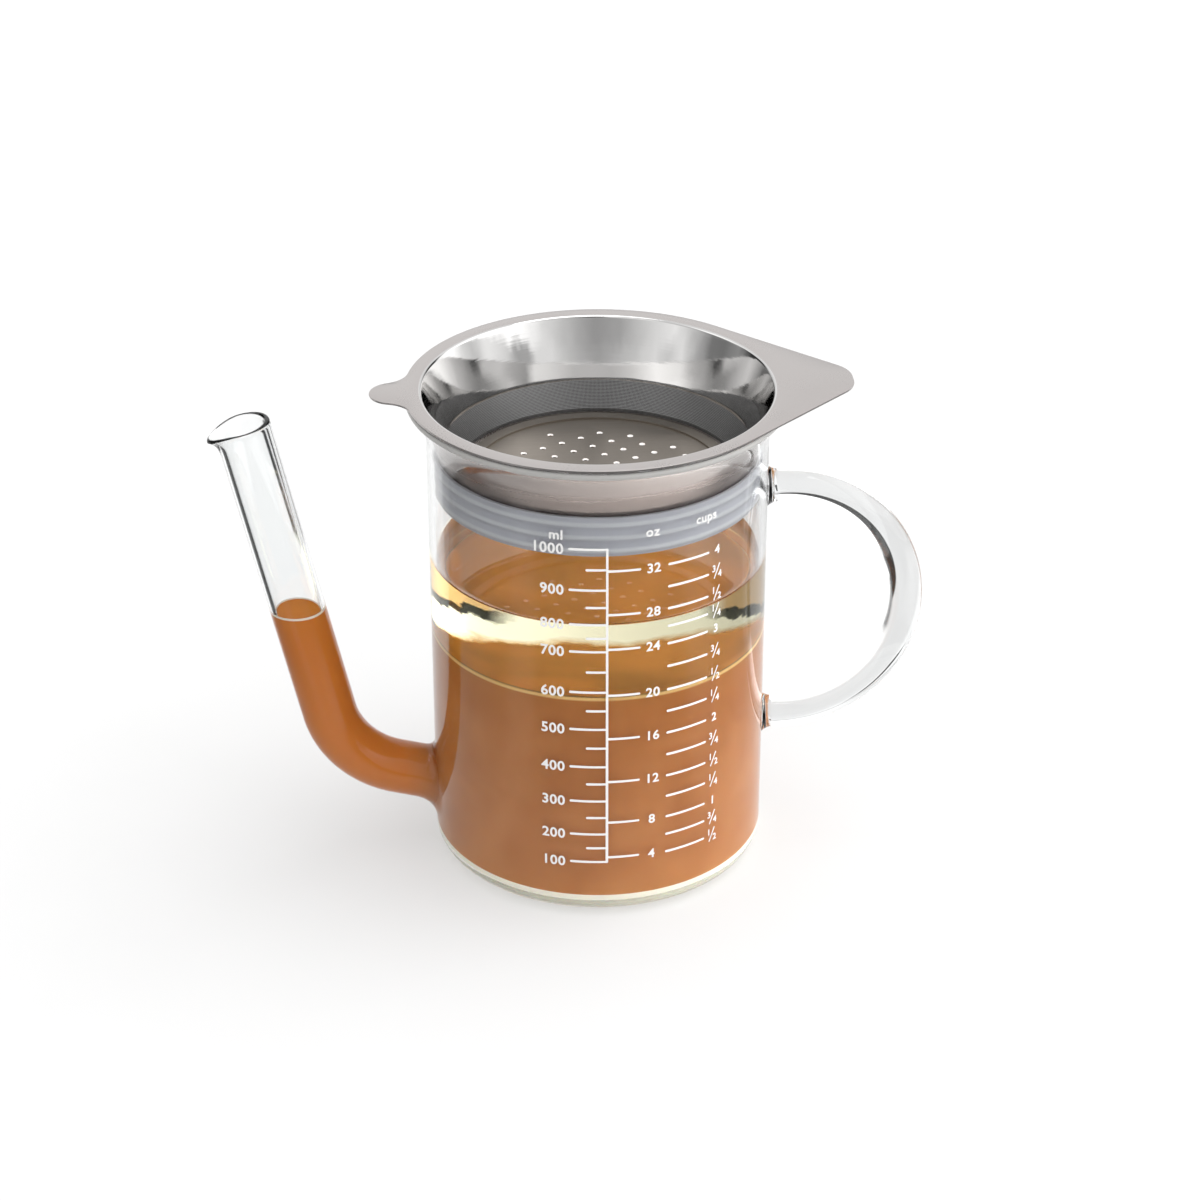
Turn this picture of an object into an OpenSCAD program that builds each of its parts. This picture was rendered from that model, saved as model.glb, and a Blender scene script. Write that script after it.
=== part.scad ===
// Gravy fat separator: a glass jug with a low spout, and a steel strainer that lifts out.
// Millimetres. Origin at the centre of the foot, +Z up, +X towards the handle, -X towards the spout.

/* [Jug] */
// Outer diameter of the glass body
jug_d = 106; // [98:1:116]
// Height of the glass, foot to rim
jug_h = 158.7; // [150:0.1:175]
// Thickness of the glass wall
wall = 2; // [1.6:0.1:2.4]
// Thickness of the glass base
base_t = 3; // [2.4:0.1:4]
// Outer rounding between base and wall
foot_corner_r = 7; // [5:0.5:9]
// Depth of the hollow pressed into the underside
punt_depth = 0.8; // [0.4:0.1:1.2]
// Width of the ring that the jug stands on
foot_ring_w = 9; // [6:0.5:12]
// Height over which the rim flares out
flare_h = 16.5; // [15:0.1:20]
// How far the rim stands out past the wall
rim_flare = 6.2; // [5.6:0.1:7.4]
// Thickness of the rounded bead along the rim
rim_bead = 3.2; // [2.8:0.1:3.6]

/* [Spout] */
// Outer diameter of the spout tube
spout_d = 17.5; // [15:0.5:20]
// Wall thickness of the spout tube
spout_wall = 1.75; // [1.4:0.05:2.2]
// Height of the tube's centre where it leaves the wall
spout_root_h = 23; // [21:0.5:28]
// Angle at which the tube leaves the wall, above level
lead_rise = 14.5; // [8:0.5:20]
// Length of the neck, from inside the wall to the bend
lead_len = 13.75; // [12:0.25:20]
// Radius of the bend, to the tube's centre
bend_r = 29.2; // [24:0.1:34]
// Outward lean of the upright tube
spout_lean = 12.5; // [8:0.5:16]
// How far the mouth's high side is below the rim
mouth_drop = 4.9; // [2:0.1:12]
// Length of the drawn mouth on its high side
lip_len = 14.2; // [12:0.1:18]
// How much lower the pouring side of the mouth is cut
lip_cut = 3.4; // [1:0.1:5]
// How far the pouring side is drawn out
lip_reach = 2.9; // [1:0.1:4]
// Where the neck starts to flare, along the lead
neck_len = 6.2; // [5:0.1:8]
// How far the neck spreads over the wall below the tube
neck_spread_low = 7; // [4:0.5:8]
// How far the neck spreads over the wall above the tube
neck_spread_high = 3; // [2:0.5:5]

/* [Handle] */
// Diameter of the solid glass bar
handle_d = 10.2; // [9:0.1:12]
// Radius of the bow, to the bar's centre
handle_bow_r = 41; // [36:0.5:46]
// Height of the middle of the handle
handle_mid_h = 82.5; // [75:0.5:90]
// Length of each straight end, from the wall
handle_lead = 5; // [4.5:0.1:12]
// Diameter of each weld where it meets the wall
weld_d = 13.2; // [12.5:0.1:16]
// Length of each weld, from the wall
weld_len = 3.8; // [2.5:0.1:4.2]

/* [Strainer] */
// Thickness of the steel sheet
sheet = 0.7; // [0.5:0.05:0.9]
// How far the flange covers past the rim
flange_over = 0.3; // [0.2:0.1:1.5]
// How far the mouth lies inside the rim's inner edge
mouth_inset = 1.7; // [1.4:0.1:4]
// Radius of the rolled edge at the mouth
mouth_edge_r = 1.1; // [0.9:0.1:2]
// Depth of the funnel, from the flange's top
funnel_depth = 19.7; // [18.4:0.1:24]
// Height of the straight skirt below the funnel
skirt_h = 12.8; // [12:0.1:16]
// How far the small tab reaches past the flange
tab_reach = 10.5; // [8:0.5:14]
// Radius of the small tab's round end
tab_end_r = 7.5; // [6:0.5:10]
// Radius of the hollow curves beside the small tab
tab_fillet = 9; // [5:0.5:12]
// How far the large tab reaches past the flange
grip_reach = 19.5; // [14:0.5:26]
// Radius of the large tab's corners
grip_corner_r = 9.5; // [6:0.5:14]
// Straight width between the large tab's corners
grip_flat_w = 7; // [3:0.5:16]

/* [Strainer floor] */
// Thickness of the woven mesh
mesh_t = 0.4; // [0.3:0.05:0.6]
// Height of the mesh band
mesh_h = 8.5; // [6:0.1:9]
// How far the mesh band draws in, top to foot
mesh_draw = 3.7; // [2:0.1:6]
// Width of the open groove between mesh and plate
groove_w = 1.5; // [1:0.1:2.5]
// Depth of the groove below the plate's border
groove_depth = 1.4; // [1.1:0.1:2]
// How far the plate's border lies below the mesh
plate_set = 0.7; // [0.2:0.1:1.2]
// Thickness of the perforated plate
plate_t = 0.6; // [0.4:0.05:0.8]
// Width of the raised border round the plate
border_w = 3.8; // [2.5:0.1:6]
// Height of the raised border
border_step = 0.6; // [0.3:0.05:0.9]
// Diameter of each drain hole
hole_d = 1.9; // [1.4:0.1:3]
// Distance between neighbouring holes, along a row
hole_pitch = 7.05; // [5:0.05:9]
// Diameter of the round field of holes
hole_field_d = 62.4; // [40:0.2:70]
// Turn of the rows from the handle's direction
hole_turn = 27.6; // [0:0.1:90]
// Offset of the holes from the plate's centre, along a row
hole_shift_x = 1.55; // [-3.5:0.05:3.5]
// Offset of the holes from the plate's centre, across the rows
hole_shift_y = 2.6; // [-3.5:0.05:3.5]

/* [Gasket] */
// Thickness of the silicone, inside face to rib tops
gasket_t = 1.8; // [1.4:0.1:2.4]
// Height of the silicone ring
gasket_h = 12.8; // [9:0.1:12.8]
// Number of sealing ribs
rib_count = 3; // [2:1:4]
// How far each rib stands out
rib_bulge = 0.7; // [0.4:0.05:0.9]

/* [Fits] */
// Gap between the strainer's flange and the rim
seat_gap = 0.1; // [0.05:0.01:0.2]
// Gap on each side of the silicone ring
slip_gap = 0.3; // [0.2:0.05:0.4]

/* [Hidden] */
$fn = 96;

// Colours, as the photograph shows them
glass_colour = [0.86, 0.92, 0.92, 0.45];
steel_colour = [0.74, 0.73, 0.72];
mesh_colour = [0.42, 0.42, 0.42];
plate_colour = [0.58, 0.55, 0.52];
silicone_colour = [0.70, 0.74, 0.79];

// How far a cutter runs past what it cuts
past = 1;
// Points on each rounded stretch of an outline
arc_steps = 10;
// Sides of the cylinder that seats a piece on the wall
wall_fn = 360;

// Jug
jug_r = jug_d / 2;
bore_r = jug_r - wall;
mid_r = jug_r - wall / 2;
floor_z = base_t + punt_depth;
floor_corner_r = foot_corner_r - wall;
foot_r = jug_r - foot_corner_r;
punt_r = foot_r - foot_ring_w;
punt_slope_w = 6;
rim_r = jug_r + rim_flare;
bead_r = rim_bead / 2;
bead_mid_r = rim_r - bead_r;
bead_z = jug_h - bead_r;
flare_z = jug_h - flare_h;
// The flare is an arc from the upright wall to the bead
flare_turn = 2 * atan((bead_mid_r - mid_r) / (bead_z - flare_z));
flare_r = (bead_z - flare_z) / sin(flare_turn);

// Spout
spout_r = spout_d / 2;
spout_bore_r = spout_r - spout_wall;
root = [-mid_r, 0, spout_root_h];
lead_dir = [-cos(lead_rise), 0, sin(lead_rise)];
lead_up = [sin(lead_rise), 0, cos(lead_rise)];
bend_turn = 90 - lead_rise - spout_lean;
bend_centre = root + lead_len * lead_dir + bend_r * lead_up;
leg_dir = [-sin(spout_lean), 0, cos(spout_lean)];
leg_in = [cos(spout_lean), 0, sin(spout_lean)];
leg_start = bend_centre - bend_r * leg_in;
mouth_z = jug_h - mouth_drop;
mouth_axial = (mouth_z - leg_start[2] - spout_r * sin(spout_lean)) / cos(spout_lean);
leg_len = mouth_axial - lip_len;
loft_sides = 48;
loft_steps = 8;

// Strainer, from the rim down
flange_z = jug_h + seat_gap;
flange_top = flange_z + sheet;
flange_r = rim_r + flange_over;
mouth_r = rim_r - rim_bead - mouth_inset;
skirt_r = bore_r - 2 * slip_gap - gasket_t;
skirt_in_r = skirt_r - sheet;
funnel_foot_z = flange_top - funnel_depth;
skirt_foot_z = funnel_foot_z - skirt_h;
// Lean of the funnel's wall from upright, with its rolled edge tangent to wall and flange
funnel_lean = atan((mouth_r - skirt_in_r) / funnel_depth);
// Where the tabs' round parts have their centres
tab_x = flange_r + tab_reach - tab_end_r;
grip_x = flange_r + grip_reach - grip_corner_r;

// Strainer's floor
mesh_foot_z = funnel_foot_z - mesh_h;
mesh_foot_r = skirt_in_r - mesh_draw;
mesh_cut = mesh_t * sqrt(mesh_h * mesh_h + mesh_draw * mesh_draw) / mesh_draw;
border_z = mesh_foot_z - plate_set;
plate_z = border_z - border_step;
plate_r = mesh_foot_r - groove_w;
field_r = plate_r - border_w;
groove_z = border_z - groove_depth;
clamp_lap = 1.4;
hole_r = hole_d / 2;
hole_field_r = hole_field_d / 2;
hole_rows = ceil(hole_field_r / hole_pitch) + 1;

// Gasket
gasket_in_r = skirt_r + slip_gap;
gasket_out_r = bore_r - slip_gap;
gasket_body_r = gasket_out_r - rib_bulge;
gasket_foot_z = skirt_foot_z;
gasket_top_z = gasket_foot_z + gasket_h;
rib_pitch = gasket_h / rib_count;

// Points along an arc about [x, z], from one angle to another
function arc(x, z, r, from, to) =
    [for (i = [0:arc_steps]) let (a = from + (to - from) * i / arc_steps) [x + r * cos(a), z + r * sin(a)]];

// A point on a tube's surface: along its axis, then out by a radius at an angle from its upper side
function on_tube(start, axis, up, along, radius, angle) =
    start + along * axis + radius * (cos(angle) * up + sin(angle) * [0, 1, 0]);

// Faces that join one ring of a loft to the next, and cap its two ends
function ring_faces(rings, sides) =
    [for (k = [0:rings - 2], i = [0:sides - 1], half = [0, 1])
        let (a = k * sides + i, b = k * sides + (i + 1) % sides, c = a + sides, d = b + sides)
        half == 0 ? [a, c, b] : [b, c, d]];

// ---- Jug ----

// Outer and inner outline of the glass, from the middle of the underside round to the middle of the floor
function jug_outline() = concat(
    [[0, punt_depth], [punt_r - punt_slope_w, punt_depth], [punt_r, 0]],
    arc(foot_r, foot_corner_r, foot_corner_r, -90, 0),
    arc(mid_r + flare_r, flare_z, flare_r - wall / 2, 180, 180 - flare_turn),
    arc(bead_mid_r, bead_z, bead_r, -flare_turn, 180 - flare_turn),
    arc(mid_r + flare_r, flare_z, flare_r + wall / 2, 180 - flare_turn, 180),
    arc(bore_r - floor_corner_r, floor_z + floor_corner_r, floor_corner_r, 0, -90),
    [[0, floor_z]]
);

module lead_bore() {
    translate(root - 2 * spout_d * lead_dir)
        rotate([0, lead_rise - 90, 0])
            cylinder(r = spout_bore_r, h = 4 * spout_d);
}

module jug_body() {
    color(glass_colour)
        difference() {
            rotate_extrude() polygon(jug_outline());
            intersection() {
                lead_bore();
                translate([-jug_d, -spout_d, 0]) cube([jug_d - past, 2 * spout_d, spout_root_h + spout_d]);
            }
        }
}

// ---- Spout ----

// Where a line along the tube, at a radius and angle about its axis, meets the jug's outer wall
function wall_reach(radius, angle) =
    (root[0] + radius * cos(angle) * lead_up[0] + sqrt(jug_r * jug_r - pow(radius * sin(angle), 2)))
    / cos(lead_rise);

// How far the neck spreads over the wall, from above the tube round to below it
function neck_spread(angle) =
    (neck_spread_high + neck_spread_low) / 2 + cos(angle) * (neck_spread_high - neck_spread_low) / 2;

// One line of the neck, from the tube, along a curve that turns onto the wall
function neck_point(t, angle) =
    let (
        spread_r = spout_r + neck_spread(angle),
        start = on_tube(root, lead_dir, lead_up, neck_len, spout_r, angle),
        corner = on_tube(root, lead_dir, lead_up, wall_reach(spout_r, angle), spout_r, angle),
        end = on_tube(root, lead_dir, lead_up, wall_reach(spread_r, angle), spread_r, angle)
    )
    (1 - t) * (1 - t) * start + 2 * t * (1 - t) * corner + t * t * end;

// The last ring is moved inside the wall, so that the wall's own surface cuts the neck
function inside_wall(p) = [p[0] + wall, p[1], p[2]];

module neck_loft() {
    angles = [for (i = [0:loft_sides - 1]) 360 * i / loft_sides];
    sunk = [for (a = angles) inside_wall(neck_point(1, a))];
    curve = [for (k = [loft_steps - 1:-1:0], a = angles) neck_point(k / loft_steps, a)];
    end = [for (a = angles) on_tube(root, lead_dir, lead_up, lead_len, spout_r, a)];
    rings = loft_steps + 2;
    last = (rings - 1) * loft_sides;
    back = inside_wall(root);
    front = root + lead_len * lead_dir;
    caps = [for (i = [0:loft_sides - 1], j = (i + 1) % loft_sides) each [
        [i, j, rings * loft_sides],
        [last + j, last + i, rings * loft_sides + 1],
    ]];
    polyhedron(
        points = concat(sunk, curve, end, [back, front]),
        faces = concat(ring_faces(rings, loft_sides), caps),
        convexity = 4
    );
}

module spout_neck() {
    color(glass_colour)
        difference() {
            neck_loft();
            lead_bore();
            cylinder(r = jug_r, h = jug_h, $fn = wall_fn);
        }
}

// The tube's cross-section
module tube_section() {
    difference() {
        circle(r = spout_r);
        circle(r = spout_bore_r);
    }
}

module spout_bend() {
    color(glass_colour)
        translate(bend_centre)
            rotate([0, 90 + lead_rise, 0])
                rotate([-90, 0, 0])
                    rotate_extrude(angle = bend_turn)
                        translate([bend_r, 0]) tube_section();
}

module spout_tube() {
    color(glass_colour)
        translate(leg_start)
            rotate([0, -spout_lean, 0])
                linear_extrude(leg_len) tube_section();
}

// A soft rise from 0 to 1
function ease(t) = t * t * (3 - 2 * t);

// How far the mouth is drawn out at a height and angle, 0 on its high side
function lip_draw(t, angle) = lip_reach * ease(t) * t * pow(max(0, -cos(angle)), 1.5);

// Length of the mouth at an angle, longest on its high side
function lip_height(angle) = lip_len - lip_cut * (1 - cos(angle)) / 2;

// A point on the mouth's wall; the leg's own axis is +Z here, and the jug lies towards +X
function lip_point(t, angle, radius, top_trim) =
    let (out = lip_draw(t, angle))
    [radius * cos(angle) - out, radius * sin(angle), t * (lip_height(angle) - top_trim)];

// The rounded edge of the mouth, from the outer wall over to the bore
function edge_point(roll, angle) =
    let (
        half = spout_wall / 2,
        middle = lip_point(1, angle, spout_r - half, half)
    )
    middle + half * [cos(roll) * cos(angle), cos(roll) * sin(angle), sin(roll)];

module pouring_lip() {
    half = spout_wall / 2;
    edge_steps = 4;
    angles = [for (i = [0:loft_sides - 1]) 360 * i / loft_sides];
    outer = [for (k = [0:loft_steps], a = angles) lip_point(k / loft_steps, a, spout_r, half)];
    edge = [for (k = [1:edge_steps - 1], a = angles) edge_point(180 * k / edge_steps, a)];
    inner = [for (k = [loft_steps:-1:0], a = angles) lip_point(k / loft_steps, a, spout_bore_r, half)];
    rings = 2 * (loft_steps + 1) + edge_steps - 1;
    last = (rings - 1) * loft_sides;
    foot = [for (i = [0:loft_sides - 1], flip = [0, 1])
        let (j = (i + 1) % loft_sides)
        flip == 0 ? [last + i, i, last + j] : [last + j, i, j]];
    color(glass_colour)
        translate(leg_start + leg_len * leg_dir)
            rotate([0, -spout_lean, 0])
                polyhedron(
                    points = concat(outer, edge, inner),
                    faces = concat(ring_faces(rings, loft_sides), foot),
                    convexity = 6
                );
}

// ---- Handle ----

module handle_bar() {
    bar_r = handle_d / 2;
    color(glass_colour)
        translate([jug_r + handle_lead, 0, handle_mid_h])
            union() {
                rotate([0, -90, 0])
                    rotate([-90, 0, 0])
                        rotate_extrude(angle = 180)
                            translate([handle_bow_r, 0]) circle(r = bar_r);
                for (side = [-1, 1])
                    translate([weld_len - handle_lead, 0, side * handle_bow_r])
                        rotate([0, 90, 0])
                            cylinder(r = bar_r, h = handle_lead - weld_len);
            }
}

// One glass weld, flared where it is fused to the wall
module weld(z) {
    bar_r = handle_d / 2;
    weld_r = weld_d / 2;
    spread = weld_r - bar_r;
    color(glass_colour)
        difference() {
            translate([jug_r, 0, z])
                rotate([0, 90, 0])
                    rotate_extrude()
                        polygon(concat(
                            [[0, -wall], [weld_r, -wall]],
                            [for (i = [0:arc_steps])
                                let (t = i / arc_steps) [weld_r - spread * t * (2 - t), weld_len * t]],
                            [[0, weld_len]]
                        ));
            cylinder(r = jug_r, h = jug_h, $fn = wall_fn);
        }
}

module handle_top_weld() { weld(handle_mid_h + handle_bow_r); }
module handle_bottom_weld() { weld(handle_mid_h - handle_bow_r); }

// ---- Strainer ----

// The flange seen from above: a disc, a small round tab over the spout, and a wide grip over the handle
module flange_outline() {
    hull() {
        circle(r = flange_r);
        for (side = [-1, 1]) translate([grip_x, side * grip_flat_w / 2]) circle(r = grip_corner_r);
    }
    offset(r = -tab_fillet) offset(delta = tab_fillet) {
        circle(r = flange_r);
        translate([-tab_x, 0]) circle(r = tab_end_r);
    }
}

// Outer radius of the funnel's leaning wall at a height
function funnel_out_r(z) = skirt_in_r + sheet / cos(funnel_lean) + (z - funnel_foot_z) * tan(funnel_lean);

// The pressed wall: flange edge, rolled mouth, funnel and skirt, at one sheet thickness
function funnel_outline() =
    let (
        roll = 90 - funnel_lean,
        roll_x = mouth_r + mouth_edge_r * tan(roll / 2),
        lap_r = roll_x + 2 * sheet
    )
    concat(
        [[lap_r, flange_z], [lap_r, flange_top]],
        arc(roll_x, flange_top - mouth_edge_r, mouth_edge_r, 90, 90 + roll),
        [[skirt_in_r, funnel_foot_z], [skirt_in_r, skirt_foot_z], [skirt_r, skirt_foot_z]],
        [[skirt_r, funnel_foot_z - (funnel_out_r(funnel_foot_z) - skirt_r) / tan(funnel_lean)]],
        [[funnel_out_r(flange_z), flange_z]]
    );

module strainer_funnel() {
    color(steel_colour)
        union() {
            rotate_extrude() polygon(funnel_outline());
            difference() {
                translate([0, 0, flange_z]) linear_extrude(sheet) flange_outline();
                translate([0, 0, flange_z - past])
                    cylinder(r = mouth_r + mouth_edge_r + sheet, h = sheet + 2 * past);
            }
        }
}

module mesh_band() {
    color(mesh_colour)
        rotate_extrude()
            polygon([
                [skirt_in_r, funnel_foot_z],
                [mesh_foot_r, mesh_foot_z],
                [mesh_foot_r, mesh_foot_z - mesh_cut],
                [skirt_in_r, funnel_foot_z - mesh_cut],
            ]);
}

// A pressed channel: its outer lip carries the mesh's foot, and the plate's rim stands inside it
module mesh_clamp_ring() {
    lip_top = mesh_foot_z - mesh_cut;
    color(steel_colour)
        rotate_extrude()
            polygon([
                [plate_r - clamp_lap, groove_z - sheet],
                [mesh_foot_r + sheet, groove_z - sheet],
                [mesh_foot_r + sheet, lip_top + sheet * mesh_h / mesh_draw],
                [mesh_foot_r, lip_top],
                [mesh_foot_r, groove_z],
                [plate_r - clamp_lap, groove_z],
            ]);
}

module sieve_plate() {
    color(plate_colour)
        difference() {
            rotate_extrude()
                polygon([
                    [0, plate_z], [field_r, plate_z], [field_r, border_z], [plate_r, border_z],
                    [plate_r, groove_z], [plate_r - plate_t, groove_z],
                    [plate_r - plate_t, border_z - plate_t], [field_r + plate_t, border_z - plate_t],
                    [field_r + plate_t, plate_z - plate_t], [0, plate_z - plate_t],
                ]);
            rotate(hole_turn)
                for (i = [-hole_rows:hole_rows], j = [-hole_rows:hole_rows]) {
                    spot = [i * hole_pitch + hole_shift_x, j * hole_pitch + hole_shift_y];
                    if (norm(spot) < hole_field_r)
                        translate([spot[0], spot[1], plate_z - plate_t - past])
                            cylinder(r = hole_r, h = plate_t + 2 * past);
                }
        }
}

// ---- Gasket ----

// The outer face in waves: one rounded rib in each share of the height
function rib_line() =
    [for (n = [0:rib_count - 1], i = [0:arc_steps])
        let (t = i / arc_steps)
        [gasket_body_r + rib_bulge * pow(sin(180 * t), 2), gasket_foot_z + rib_pitch * (n + t)]];

module silicone_gasket() {
    color(silicone_colour)
        rotate_extrude()
            polygon(concat(
                [[gasket_in_r, gasket_foot_z]],
                rib_line(),
                [[gasket_in_r, gasket_top_z]]
            ));
}

jug_body();
spout_neck();
spout_bend();
spout_tube();
pouring_lip();
handle_bar();
handle_top_weld();
handle_bottom_weld();
strainer_funnel();
mesh_band();
mesh_clamp_ring();
sieve_plate();
silicone_gasket();
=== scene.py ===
"""Looks of a gravy fat separator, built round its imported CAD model.

A glass jug with a low spout holds gravy with clear fat on top, and a steel strainer with a silicone ring
lies in its rim. Lengths are millimetres until `at` turns them to metres. +X points to the handle and -X to
the spout.
"""

import logging
import math
from collections.abc import Callable, Iterable
from dataclasses import dataclass, field
from enum import Enum

import bpy
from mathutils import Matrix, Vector


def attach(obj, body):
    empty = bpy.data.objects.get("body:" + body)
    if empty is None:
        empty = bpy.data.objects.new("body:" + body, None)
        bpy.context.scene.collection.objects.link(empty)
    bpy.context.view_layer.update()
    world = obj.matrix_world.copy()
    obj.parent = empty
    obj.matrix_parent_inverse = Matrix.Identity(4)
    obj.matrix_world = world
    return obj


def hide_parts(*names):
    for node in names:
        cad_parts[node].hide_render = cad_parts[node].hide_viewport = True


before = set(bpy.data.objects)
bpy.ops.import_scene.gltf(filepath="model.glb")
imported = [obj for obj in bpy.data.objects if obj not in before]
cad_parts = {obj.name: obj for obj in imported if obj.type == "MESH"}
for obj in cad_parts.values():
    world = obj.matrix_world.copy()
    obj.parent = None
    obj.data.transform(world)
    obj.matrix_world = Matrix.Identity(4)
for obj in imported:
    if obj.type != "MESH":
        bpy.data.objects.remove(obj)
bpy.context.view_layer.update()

MM = 0.001
WELD = 2e-6
NEAR = 0.01
ROUND_SIDES = 192
TUBE_SIDES = 96
ARC_STEPS = 14
SMOOTH_ANGLE = math.radians(38)

Point = tuple[float, float]
Place = tuple[float, float, float]
Piece = bpy.types.Object
Tree = bpy.types.NodeTree
Source = bpy.types.NodeSocket | bpy.types.Node

log = logging.getLogger("fat_separator")


class Body(Enum):
    """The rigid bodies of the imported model."""

    JUG = "jug"
    STRAINER = "strainer"
    GASKET = "gasket"


class Slot(Enum):
    """The record's material slots that the remade pieces take."""

    GLASS = "clear_glass"
    SHEET = "steel_sheet"
    SILICONE = "silicone"


class Join(Enum):
    """What a boolean does with its second piece."""

    ADD = "UNION"
    CUT = "DIFFERENCE"


# ---- Tools of the bench ----


def at(place: Iterable[float]) -> Vector:
    """Turn a place in millimetres to metres."""
    return Vector(place) * MM


def linear(hex_code: str) -> tuple[float, float, float, float]:
    """Turn an sRGB hex colour to linear light.

    Args:
        hex_code: Six hex digits after a hash sign.

    Returns:
        Red, green, blue and a full alpha, as a shader socket takes them.
    """
    parts = [int(hex_code[i : i + 2], 16) / 255 for i in (1, 3, 5)]
    light = [p / 12.92 if p <= 0.04045 else ((p + 0.055) / 1.055) ** 2.4 for p in parts]
    return (*light, 1.0)


def arc(x: float, z: float, radius: float, start: float, end: float, steps: int = ARC_STEPS) -> list[Point]:
    """Points along an arc.

    Args:
        x: Centre, away from the axis.
        z: Centre's height.
        radius: Radius of the arc.
        start: First angle, in degrees.
        end: Last angle, in degrees.
        steps: Number of chords.

    Returns:
        The points, both ends included.
    """
    turns = [math.radians(start + (end - start) * i / steps) for i in range(steps + 1)]
    return [(x + radius * math.cos(a), z + radius * math.sin(a)) for a in turns]


def stretch(start: Point, end: Point, step: float) -> list[Point]:
    """Points between two ends, both left out, no further apart than a step.

    Args:
        start: The first end.
        end: The last end.
        step: The longest step.

    Returns:
        The points.
    """
    count = max(1, math.ceil(math.dist(start, end) / step))
    return [
        (start[0] + (end[0] - start[0]) * i / count, start[1] + (end[1] - start[1]) * i / count)
        for i in range(1, count)
    ]


def hold(piece: Piece) -> None:
    """Make a piece the only selected and the active one.

    Args:
        piece: The piece to select.
    """
    for other in list(bpy.context.selected_objects):
        other.select_set(False)
    piece.select_set(True)
    bpy.context.view_layer.objects.active = piece


def settle(piece: Piece) -> Piece:
    """Apply a piece's place, turn and size to its mesh.

    Args:
        piece: The piece to settle.

    Returns:
        The same piece.
    """
    hold(piece)
    bpy.ops.object.transform_apply(location=True, rotation=True, scale=True)
    return piece


def ring(
    name: str,
    radius: float,
    place: Iterable[float],
    tilt: float = 0.0,
    sides: int = TUBE_SIDES,
    filled: bool = False,
) -> Piece:
    """Add a ring or a disc.

    Args:
        name: Name of the new piece.
        radius: Its radius.
        place: Its middle.
        tilt: Turn about Y, in degrees, from lying level.
        sides: Number of its sides.
        filled: True for a disc.

    Returns:
        The ring or disc.
    """
    bpy.ops.object.select_all(action="DESELECT")
    bpy.ops.mesh.primitive_circle_add(
        vertices=sides,
        radius=radius * MM,
        fill_type="NGON" if filled else "NOTHING",
        location=at(place),
        rotation=(0, math.radians(tilt), 0),
    )
    piece = settle(bpy.context.object)
    piece.name = name
    return piece


def start_edit(piece: Piece) -> None:
    """Open a piece in edit mode with all of it selected.

    Args:
        piece: The piece to open.
    """
    hold(piece)
    bpy.ops.object.mode_set(mode="EDIT")
    bpy.ops.mesh.select_all(action="SELECT")


def end_edit() -> None:
    """Leave edit mode."""
    bpy.ops.object.mode_set(mode="OBJECT")


def close_seams(outward: bool = True) -> None:
    """In edit mode, weld doubled points and turn all faces outward.

    Args:
        outward: False for a wire, which has no faces.
    """
    bpy.ops.mesh.select_all(action="SELECT")
    bpy.ops.mesh.remove_doubles(threshold=WELD)
    if outward:
        bpy.ops.mesh.normals_make_consistent(inside=False)


def extrude(move: Iterable[float]) -> None:
    """In edit mode, extrude what is selected by a move in millimetres."""
    bpy.ops.mesh.extrude_region_move(TRANSFORM_OT_translate={"value": at(move)})


def pick_open_rings() -> None:
    """In edit mode, select only the edges of open rings."""
    bpy.ops.mesh.select_all(action="DESELECT")
    bpy.ops.mesh.select_non_manifold()


def drawn(name: str, places: list[Place]) -> Piece:
    """Draw a wire by pulling one vertex from place to place.

    Args:
        name: Name of the new piece.
        places: The wire's corners, in millimetres.

    Returns:
        The wire, which is closed where its last place is its first.
    """
    bpy.ops.object.select_all(action="DESELECT")
    bpy.ops.mesh.primitive_plane_add(size=MM, location=at(places[0]))
    piece = settle(bpy.context.object)
    piece.name = name
    start_edit(piece)
    bpy.ops.mesh.merge(type="CENTER")
    for before, after in zip(places, places[1:]):
        bpy.ops.mesh.extrude_vertices_move(TRANSFORM_OT_translate={"value": at(after) - at(before)})
    close_seams(outward=False)
    end_edit()
    return piece


def turned(name: str, outline: list[Point]) -> Piece:
    """Turn an outline about the jug's axis, as on a lathe.

    Args:
        name: Name of the new piece.
        outline: Radius and height of each corner, in millimetres.

    Returns:
        The turned piece, closed where the outline is closed or ends on the axis.
    """
    piece = drawn(name, [(r, 0, z) for r, z in outline])
    start_edit(piece)
    bpy.ops.mesh.spin(steps=ROUND_SIDES, angle=math.tau, center=(0, 0, 0), axis=(0, 0, 1))
    close_seams()
    end_edit()
    return piece


def modified(piece: Piece, kind: str, **settings: object) -> Piece:
    """Add a modifier to a piece and apply it.

    Args:
        piece: The piece to change.
        kind: Blender's name for the kind of modifier.
        **settings: The modifier's own settings.

    Returns:
        The same piece.
    """
    hold(piece)
    modifier = piece.modifiers.new(kind.lower(), kind)
    for key, value in settings.items():
        setattr(modifier, key, value)
    bpy.ops.object.modifier_apply(modifier=modifier.name)
    return piece


def eased(piece: Piece, width: float, angle: float) -> Piece:
    """Round a piece's edges that are sharper than an angle in degrees, by a width in millimetres.

    Args:
        piece: The piece to ease.
        width: The bevel's width.
        angle: The angle.

    Returns:
        The same piece.
    """
    return modified(
        piece, "BEVEL", width=width * MM, segments=2, limit_method="ANGLE", angle_limit=math.radians(angle)
    )


def fused(piece: Piece, other: Piece, join: Join = Join.ADD) -> Piece:
    """Fuse a second piece with the first, or cut it from it, and drop the second.

    Args:
        piece: The piece that stays.
        other: The piece that goes.
        join: How they meet.

    Returns:
        The first piece.
    """
    modified(piece, "BOOLEAN", operation=join.value, object=other, solver="EXACT")
    bpy.data.objects.remove(other)
    return piece


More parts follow.
